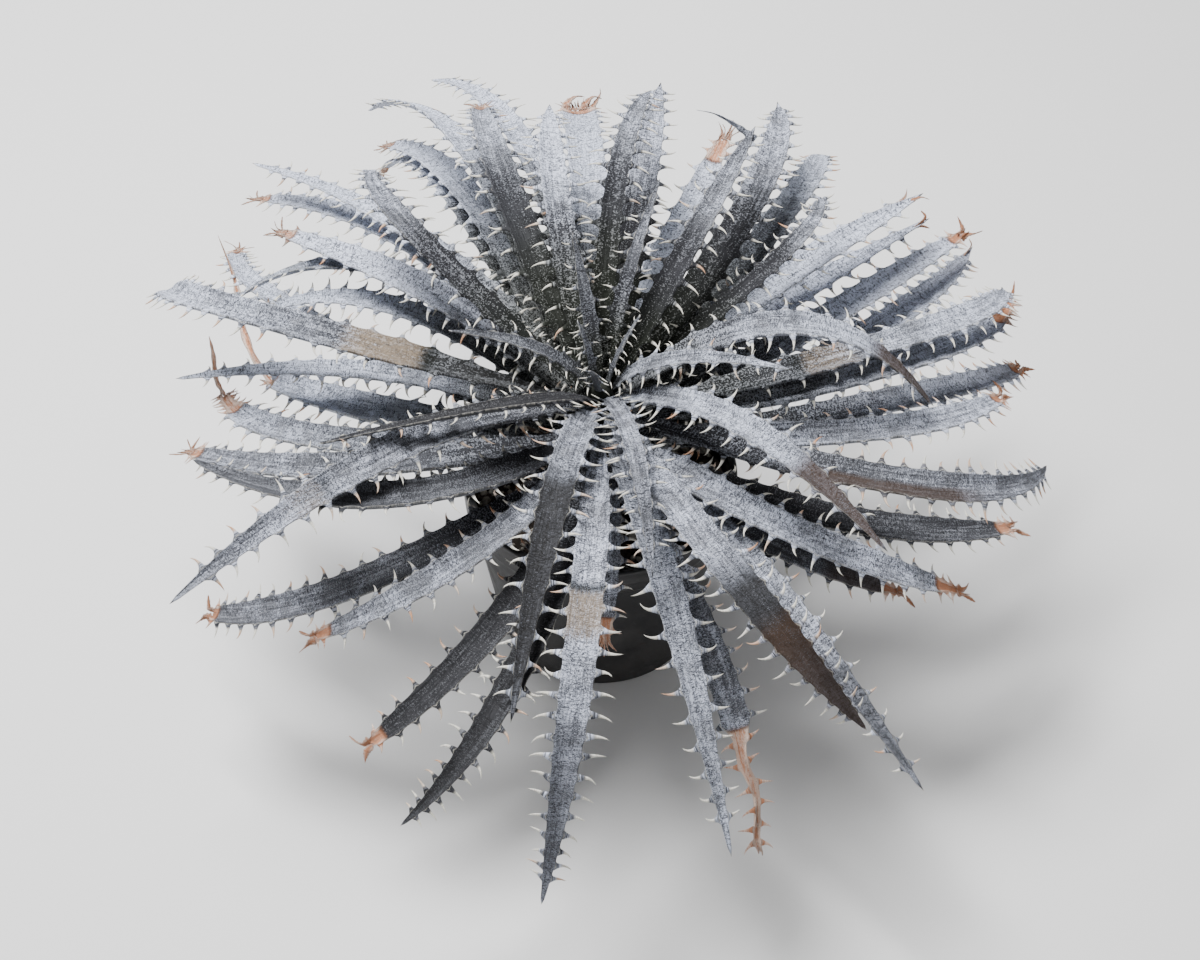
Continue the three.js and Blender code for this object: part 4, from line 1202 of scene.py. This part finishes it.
def turned_shape(profile, sides, ripple=None):
    """A closed lathe about Z, from the foot on the axis to the top on the axis, as a shape."""
    shape = Shape()
    profile = np.array(profile, float)
    angles = np.arange(sides) / sides * 2 * math.pi
    rings = profile[1:-1]
    points = np.stack([
        rings[:, None, 0] * np.cos(angles), rings[:, None, 0] * np.sin(angles),
        np.repeat(rings[:, 1:2], sides, 1),
    ], -1)
    if ripple is not None:
        points = ripple(points)
    first = shape.add(points.reshape(-1, 3))
    index = first + np.arange(len(rings) * sides).reshape(len(rings), sides)
    shape.skin(index)
    shape.fan(index[0], shape.add([(0, 0, profile[0, 1])]), below=True)
    shape.fan(index[-1], shape.add([(0, 0, profile[-1, 1])]))
    return shape


STONE_RINGS = np.array([-0.75, -0.3, 0.3, 0.75])
STONE_SIDES = 7

# Heights of the trunk (mm): its underside and chamfer in the soil, where it stops being straight,
# its shoulder, where it is full, and its rounded top.
TRUNK = {
    "low": 66, "chamfer": (1, 1.5), "straight_to": 84, "shoulder": 91, "shoulder_share": 0.6, "full": 98,
    "steps": 24, "knob": (2.4, 147), "top": 147.6, "sides": 40, "scars": 0.022,
}
# The soil (mm): its underside, the hole that the stem stands in, how it heaves, and its grit.
SOIL = {
    "low": 3, "low_radius": 42, "slope": (1, 4), "rings": 30, "sides": 120, "hole_low": 70, "hole_end": 65.6,
    "waves": 14, "wave_height": 0.22, "wave_rate": 1.4, "seed": 4, "stone": 2.3, "sunk": 0.25,
}
# The drain holes: how far out they lie, and the tool that cuts them (m).
DRAIN = {"ring": 0.030, "radius": 0.004, "depth": 0.03, "sides": 32}
POT_SIDES = 128
POT_CREASE = math.radians(50)


def add_stone(shape, place, size, random):
    """A small rounded stone, unevenly broken."""
    angles = (np.arange(STONE_SIDES) + random.uniform(0, 1)) / STONE_SIDES * 2 * math.pi
    height = STONE_RINGS[:, None]
    radius = np.sqrt(1 - height**2)
    points = np.stack([radius * np.cos(angles), radius * np.sin(angles), height + 0 * angles], -1)
    points = np.concatenate([points.reshape(-1, 3), [(0, 0, -1), (0, 0, 1)]])
    points = points * random.uniform(0.8, 1.15, (len(points), 1)) * size * random.uniform(0.65, 1.2, 3)
    turn = np.linalg.qr(random.normal(size=(3, 3)))[0]
    first = shape.add(points @ turn + place, tone=(1.0, 0.0, random.uniform(0, 1)))
    index = first + np.arange(len(STONE_RINGS) * STONE_SIDES).reshape(-1, STONE_SIDES)
    low = first + index.size
    shape.skin(index)
    shape.fan(index[0], low, below=True)
    shape.fan(index[-1], low + 1)


class DYCKIA_OT_leaves(Operator):
    """Grow every large leaf, with its hooked spines, in place of its plain solid"""

    bl_idname = "dyckia.leaves"
    bl_label = "Grow leaves"

    def execute(self, context):
        sizes, colours = context.scene.dyckia_plant, context.scene.dyckia_colours
        count = len(LEAVES)
        leaves = [Leaf(row, foot_at(i / (count - 1)), i + 1) for i, row in enumerate(LEAVES)]
        ease_apart(leaves)
        neighbours = Neighbours(leaves)
        finish = material("dyckia_leaf", leaf_finish, colours)
        for i, leaf in enumerate(leaves):
            shape = Shape()
            blade = Blade(leaf, sizes, i, neighbours, leaf.number)
            blade.grow(shape)
            if blade.dried and leaf.number not in NO_FRAY:
                fray(shape, blade, np.random.RandomState(leaf.number))
            add_strips(shape, leaf)
            name = f"leaf_{leaf.number:02d}"
            dress(name + ".fine", shape.mesh(name + ".fine"), finish, "leaf", name)
        return {"FINISHED"}


class DYCKIA_OT_stem(Operator):
    """Grow the stem, its youngest leaves and the dead bases below them"""

    bl_idname = "dyckia.stem"
    bl_label = "Grow stem"

    def execute(self, context):
        sizes, colours = context.scene.dyckia_plant, context.scene.dyckia_colours
        shape = Shape()
        seed = 100
        for row in YOUNG_LEAVES:
            Blade(Leaf(row, YOUNG_FOOT), sizes, -1, None, seed).grow(shape)
            seed += 1
        random = np.random.RandomState(OLD_BASES["seed"])
        for i in range(OLD_BASES["count"]):
            heading = i * OLD_BASES["turn"]
            reach = OLD_BASES["reach"] + random.uniform(-0.5, 0.5) * OLD_BASES["uneven"]
            tip = tuple(compass(heading) * reach + UP * OLD_BASES["rise"])
            row = (heading, OLD_BASES["slope"], 0.5, tip, OLD_FOOT["width"], "dry", 0, -0.6, 0.0, 0.5)
            Blade(Leaf(row, OLD_FOOT), sizes, -1, None, seed).grow(shape)
            seed += 1
        young = shape.mesh("stem.fine")
        dress("stem.fine", young, material("dyckia_leaf", leaf_finish, colours), "stem", "stem")

        foot, swell = sizes.stem_foot / MM, BOTTOM_LEAF["radius"]
        low, (inset, raised) = TRUNK["low"], TRUNK["chamfer"]
        profile = [(0, low), (foot - inset, low), (foot, low + raised), (foot, TRUNK["straight_to"])]
        profile.append((lerp(foot, swell, TRUNK["shoulder_share"]), TRUNK["shoulder"]))
        profile.append((swell, TRUNK["full"]))
        for share in np.linspace(0, 1, TRUNK["steps"]):
            height = lerp(BOTTOM_LEAF["height"], TOP_LEAF["height"], share)
            profile.append((lerp(swell, TOP_LEAF["radius"], share), height))
        profile += [TRUNK["knob"], (0, TRUNK["top"])]

        def ripple(points):
            angle = np.arctan2(points[..., 1], points[..., 0])
            scar = np.sin(points[..., 2] * 1.9 + 2 * angle) + 0.6 * np.sin(points[..., 2] * 3.1 - 3 * angle)
            points[..., :2] *= (1 - TRUNK["scars"] * (1 + scar / 1.6))[..., None]
            return points

        trunk = turned_shape(profile, TRUNK["sides"], ripple).mesh("stem.trunk")
        dress("stem.trunk", trunk, material("dyckia_stem", bark_finish, colours), "stem", "stem")
        return {"FINISHED"}


class DYCKIA_OT_soil(Operator):
    """Fill the pot with crumbly mix and grit"""

    bl_idname = "dyckia.soil"
    bl_label = "Fill soil"

    def execute(self, context):
        sizes, colours = context.scene.dyckia_plant, context.scene.dyckia_colours
        _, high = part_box("soil")
        edge, top, hole = high.x / MM, sizes.soil_top / MM, sizes.stem_foot / MM
        inset, drop = SOIL["slope"]
        profile = [(0, SOIL["low"]), (SOIL["low_radius"], SOIL["low"]), (edge - inset, top - drop)]
        profile += [(radius, top) for radius in np.linspace(edge - 0.5, hole + 0.8, SOIL["rings"])]
        profile += [(hole + 0.4, SOIL["hole_low"]), (0, SOIL["hole_end"])]
        random = np.random.RandomState(SOIL["seed"])
        waves = random.uniform(-0.5, 0.5, (SOIL["waves"], 3))

        def lift(x, y):
            total, rate = 0 * x, SOIL["wave_rate"]
            for kx, ky, phase in waves:
                total = total + np.sin(x * kx * rate + y * ky * rate + phase * 12) * SOIL["wave_height"]
            return total

        def ripple(points):
            raised = lift(points[..., 0], points[..., 1])
            points[..., 2] += np.where(points[..., 2] > top - 1, raised, 0)
            return points

        shape = turned_shape(profile, SOIL["sides"], ripple)
        for _ in range(sizes.grit_count):
            radius = math.sqrt(random.uniform((hole + 3) ** 2, (edge - 2.5) ** 2))
            angle = random.uniform(0, 2 * math.pi)
            x, y = radius * math.cos(angle), radius * math.sin(angle)
            size = random.uniform(0.6, 1.0) ** 2 * SOIL["stone"]
            height = top + lift(np.array(x), np.array(y)) + size * SOIL["sunk"]
            add_stone(shape, (x, y, height), size, random)
        finish = material("potting_mix", soil_finish, colours)
        dress("soil.fine", shape.mesh("soil.fine"), finish, "soil", "soil")
        return {"FINISHED"}


class DYCKIA_OT_pot(Operator):
    """Turn the nursery pot, with its rim band and drain holes"""

    bl_idname = "dyckia.pot"
    bl_label = "Turn pot"

    # Radius and height (mm), from the middle of the underside, over the rim and down inside.
    PROFILE = [
        (0, 0), (30, 0), (42.6, 0), (44.0, 0.25), (44.7, 0.8), (45.0, 1.6), (46.0, 7.6), (46.5, 8.1),
        (46.7, 9.0), (57.1, 76.0), (57.3, 77.2), (57.8, 78.6), (57.8, 79.6), (58.0, 80.3), (59.2, 80.8),
        (59.45, 81.4), (59.5, 82.4), (59.6, 85.6), (59.75, 86.0), (59.75, 86.8), (59.65, 87.2),
        (59.8, 91.6), (60.0, 92.4), (59.9, 93.2), (59.4, 93.8), (58.7, 94.0), (57.4, 94.0),
        (56.8, 93.8), (56.4, 93.2), (56.2, 92.2), (56.2, 80.4), (55.9, 79.0), (54.6, 70.0),
        (43.9, 4.6), (43.3, 3.2), (42.0, 2.5), (30, 2.4), (0, 2.4),
    ]

    def execute(self, context):
        sizes, colours = context.scene.dyckia_plant, context.scene.dyckia_colours
        plain = turned_shape(self.PROFILE, POT_SIDES).mesh("pot_body")
        body = bpy.data.objects.new("pot_body", plain)
        context.scene.collection.objects.link(body)
        cutters = []
        for i in range(sizes.drain_count):
            place = compass((i + 0.5) * 360 / sizes.drain_count) * DRAIN["ring"]
            bpy.ops.mesh.primitive_cylinder_add(
                vertices=DRAIN["sides"], radius=DRAIN["radius"], depth=DRAIN["depth"], location=tuple(place)
            )
            cutter = context.active_object
            cut = body.modifiers.new(f"drain_{i}", "BOOLEAN")
            cut.operation, cut.solver, cut.object = "DIFFERENCE", "EXACT", cutter
            cutters.append(cutter)
        context.view_layer.update()
        made = bpy.data.meshes.new_from_object(body.evaluated_get(context.evaluated_depsgraph_get()))
        made.name = "pot.fine"
        made.set_sharp_from_angle(angle=POT_CREASE)
        for spare in (*cutters, body):
            bpy.data.objects.remove(spare)
        made.materials.clear()
        dress("pot.fine", made, material("nursery_pot", pot_finish, colours), "pot", "pot")
        return {"FINISHED"}


# Each light's place from the target, and its side (m).
LAMPS = {"key": ((-0.45, 0.42, 1.45), 0.7), "fill": ((0.8, -1.2, 1.1), 1.0)}
SENSOR_WIDTH = 36


class DYCKIA_OT_stage(Operator):
    """Set the floor, the soft lights and the camera"""

    bl_idname = "dyckia.stage"
    bl_label = "Set stage"

    def execute(self, context):
        stage, colours = context.scene.dyckia_stage, context.scene.dyckia_colours
        bpy.ops.mesh.primitive_plane_add(size=stage.floor_size)
        floor = context.active_object
        floor.name = "floor"
        floor.data.materials.append(material("studio_floor", floor_finish, colours))

        world = bpy.data.worlds.new("studio")
        world.use_nodes = True
        background = world.node_tree.nodes["Background"]
        background.inputs["Color"].default_value = (*colours.sky, 1)
        background.inputs["Strength"].default_value = stage.sky_strength
        context.scene.world = world

        target = Vector(stage.target)
        for name, (offset, size) in LAMPS.items():
            data = bpy.data.lights.new(name, "AREA")
            data.size, data.energy = size, getattr(stage, name + "_power")
            lamp = bpy.data.objects.new(name, data)
            lamp.location = target + Vector(offset)
            lamp.rotation_euler = (-Vector(offset)).to_track_quat("-Z", "Y").to_euler()
            context.scene.collection.objects.link(lamp)

        data = bpy.data.cameras.new("camera")
        data.lens, data.sensor_width = stage.lens, SENSOR_WIDTH
        camera = bpy.data.objects.new("camera", data)
        back = Vector((0, -math.cos(stage.elevation), math.sin(stage.elevation)))
        camera.location = target + back * stage.distance
        camera.rotation_euler = (-back).to_track_quat("-Z", "Y").to_euler()
        context.scene.collection.objects.link(camera)
        context.scene.camera = camera
        return {"FINISHED"}


# ------------------------------------------------------------------ settings and panel


def length(name, default, description):
    return FloatProperty(name=name, default=default, unit="LENGTH", precision=4, description=description)


def colour(name, default, description):
    return FloatVectorProperty(
        name=name, default=default, size=3, subtype="COLOR", min=0, max=1, description=description
    )


class DyckiaPlantSettings(PropertyGroup):
    spine_length: length("Spine length", 0.0076, "Length of a full-grown spine")
    spine_base: length("Spine base", 0.0040, "How much of the margin a spine takes up")
    spine_spacing: length("Spine spacing", 0.0100, "From one spine to the next on a broad leaf")
    hook_angle: FloatProperty(
        name="Hook angle", default=math.radians(66), subtype="ANGLE",
        description="How far a spine turns from its root to its tip",
    )
    stem_foot: length("Stem foot", 0.012, "Radius of the stem in the soil")
    soil_top: length("Soil top", 0.083, "Height of the soil above the pot's underside")
    grit_count: IntProperty(name="Grit", default=420, description="Number of stones on the soil")
    drain_count: IntProperty(name="Drain holes", default=6, description="Number of holes in the pot's floor")


class DyckiaColours(PropertyGroup):
    silver: colour("Silver", (0.31, 0.325, 0.37), "Coat of scales")
    # Pale silver also paints light on back leaves' upper ends; dull, olive and deep tissue also paint shade.
    pale: colour("Pale silver", (0.68, 0.73, 0.88), "Thick coat of scales")
    dull: colour("Dull", (0.085, 0.085, 0.087), "Worn coat of scales")
    bluish: colour("Bluish", (0.50, 0.56, 0.66), "Smooth coat of scales")
    under: colour("Underside", (0.30, 0.31, 0.33), "Coat on the underside")
    olive: colour("Olive", (0.20, 0.205, 0.185), "Thin coat near the heart")
    tissue: colour("Tissue", (0.024, 0.024, 0.028), "Leaf between its scales")
    deep_tissue: colour("Deep tissue", (0.005, 0.007, 0.003), "Leaf near the heart")
    tan: colour("Tan", (0.36, 0.28, 0.20), "Healed stretches")
    stain: colour("Stain", (0.070, 0.045, 0.032), "Brown stretches")
    charcoal: colour("Charcoal", (0.030, 0.029, 0.029), "Blackened stretches")
    husk: colour("Husk", (0.62, 0.29, 0.17), "Dead tissue")
    pale_husk: colour("Pale husk", (0.85, 0.66, 0.56), "Bleached dead tissue")
    rust: colour("Rust", (0.16, 0.075, 0.045), "Burnt edges")
    amber: colour("Amber", (0.52, 0.27, 0.15), "Burnt spine tips")
    ivory: colour("Ivory", (0.62, 0.59, 0.50), "Spines and margins")
    pale_ivory: colour("Pale ivory", (0.84, 0.82, 0.76), "Spines and margins, bleached")
    bark: colour("Bark", (0.10, 0.08, 0.06), "Stem")
    soil: colour("Soil", (0.075, 0.05, 0.035), "Potting mix")
    dark_soil: colour("Dark soil", (0.02, 0.014, 0.01), "Damp potting mix")
    grit: colour("Grit", (0.25, 0.22, 0.18), "Grit in the mix")
    pale_grit: colour("Pale grit", (0.55, 0.52, 0.46), "Pumice in the mix")
    pot: colour("Pot", (0.012, 0.012, 0.013), "Pot's plastic")
    pot_dust: colour("Pot dust", (0.09, 0.085, 0.08), "Dust on the pot")
    floor: colour("Floor", (0.80, 0.80, 0.80), "Studio floor")
    sky: colour("Sky", (1.0, 1.0, 1.0), "Light from all round")


class DyckiaStageSettings(PropertyGroup):
    floor_size: length("Floor size", 12.0, "Side of the floor")
    target: FloatVectorProperty(
        name="Target", default=(0, -0.031, 0.121), size=3, subtype="TRANSLATION", unit="LENGTH",
        description="Point that the camera looks at",
    )
    distance: length("Camera distance", 0.9, "From the camera to its target")
    elevation: FloatProperty(
        name="Elevation", default=math.radians(47), subtype="ANGLE",
        description="Camera's angle above the horizon",
    )
    lens: FloatProperty(name="Lens", default=64.8, description="Focal length, in millimetres")
    key_power: FloatProperty(name="Key power", default=64.0, description="Main light, in watts")
    fill_power: FloatProperty(name="Fill power", default=4.0, description="Fill light, in watts")
    sky_strength: FloatProperty(name="Sky strength", default=0.20, description="Light from all round")


PIECE_OPERATORS = (DYCKIA_OT_leaves, DYCKIA_OT_stem, DYCKIA_OT_soil, DYCKIA_OT_pot, DYCKIA_OT_stage)


class DYCKIA_PT_panel(Panel):
    """Lists the pieces and their settings"""

    bl_idname = "DYCKIA_PT_panel"
    bl_label = "Dyckia"
    bl_space_type = "VIEW_3D"
    bl_region_type = "UI"
    bl_category = "Dyckia"

    def draw(self, context):
        for operator in PIECE_OPERATORS:
            self.layout.operator(operator.bl_idname)
        for group in (context.scene.dyckia_plant, context.scene.dyckia_colours, context.scene.dyckia_stage):
            box = self.layout.box()
            for name in group.bl_rna.properties.keys():
                if name not in ("rna_type", "name"):
                    box.prop(group, name)


CLASSES = (DyckiaPlantSettings, DyckiaColours, DyckiaStageSettings, *PIECE_OPERATORS, DYCKIA_PT_panel)


def register():
    for item in CLASSES:
        bpy.utils.register_class(item)
    bpy.types.Scene.dyckia_plant = PointerProperty(type=DyckiaPlantSettings)
    bpy.types.Scene.dyckia_colours = PointerProperty(type=DyckiaColours)
    bpy.types.Scene.dyckia_stage = PointerProperty(type=DyckiaStageSettings)


def unregister():
    del bpy.types.Scene.dyckia_stage
    del bpy.types.Scene.dyckia_colours
    del bpy.types.Scene.dyckia_plant
    for item in reversed(CLASSES):
        bpy.utils.unregister_class(item)


def main():
    register()
    bpy.ops.dyckia.stage()
    bpy.ops.dyckia.leaves()
    bpy.ops.dyckia.stem()
    bpy.ops.dyckia.soil()
    bpy.ops.dyckia.pot()


if __name__ == "__main__":
    main()
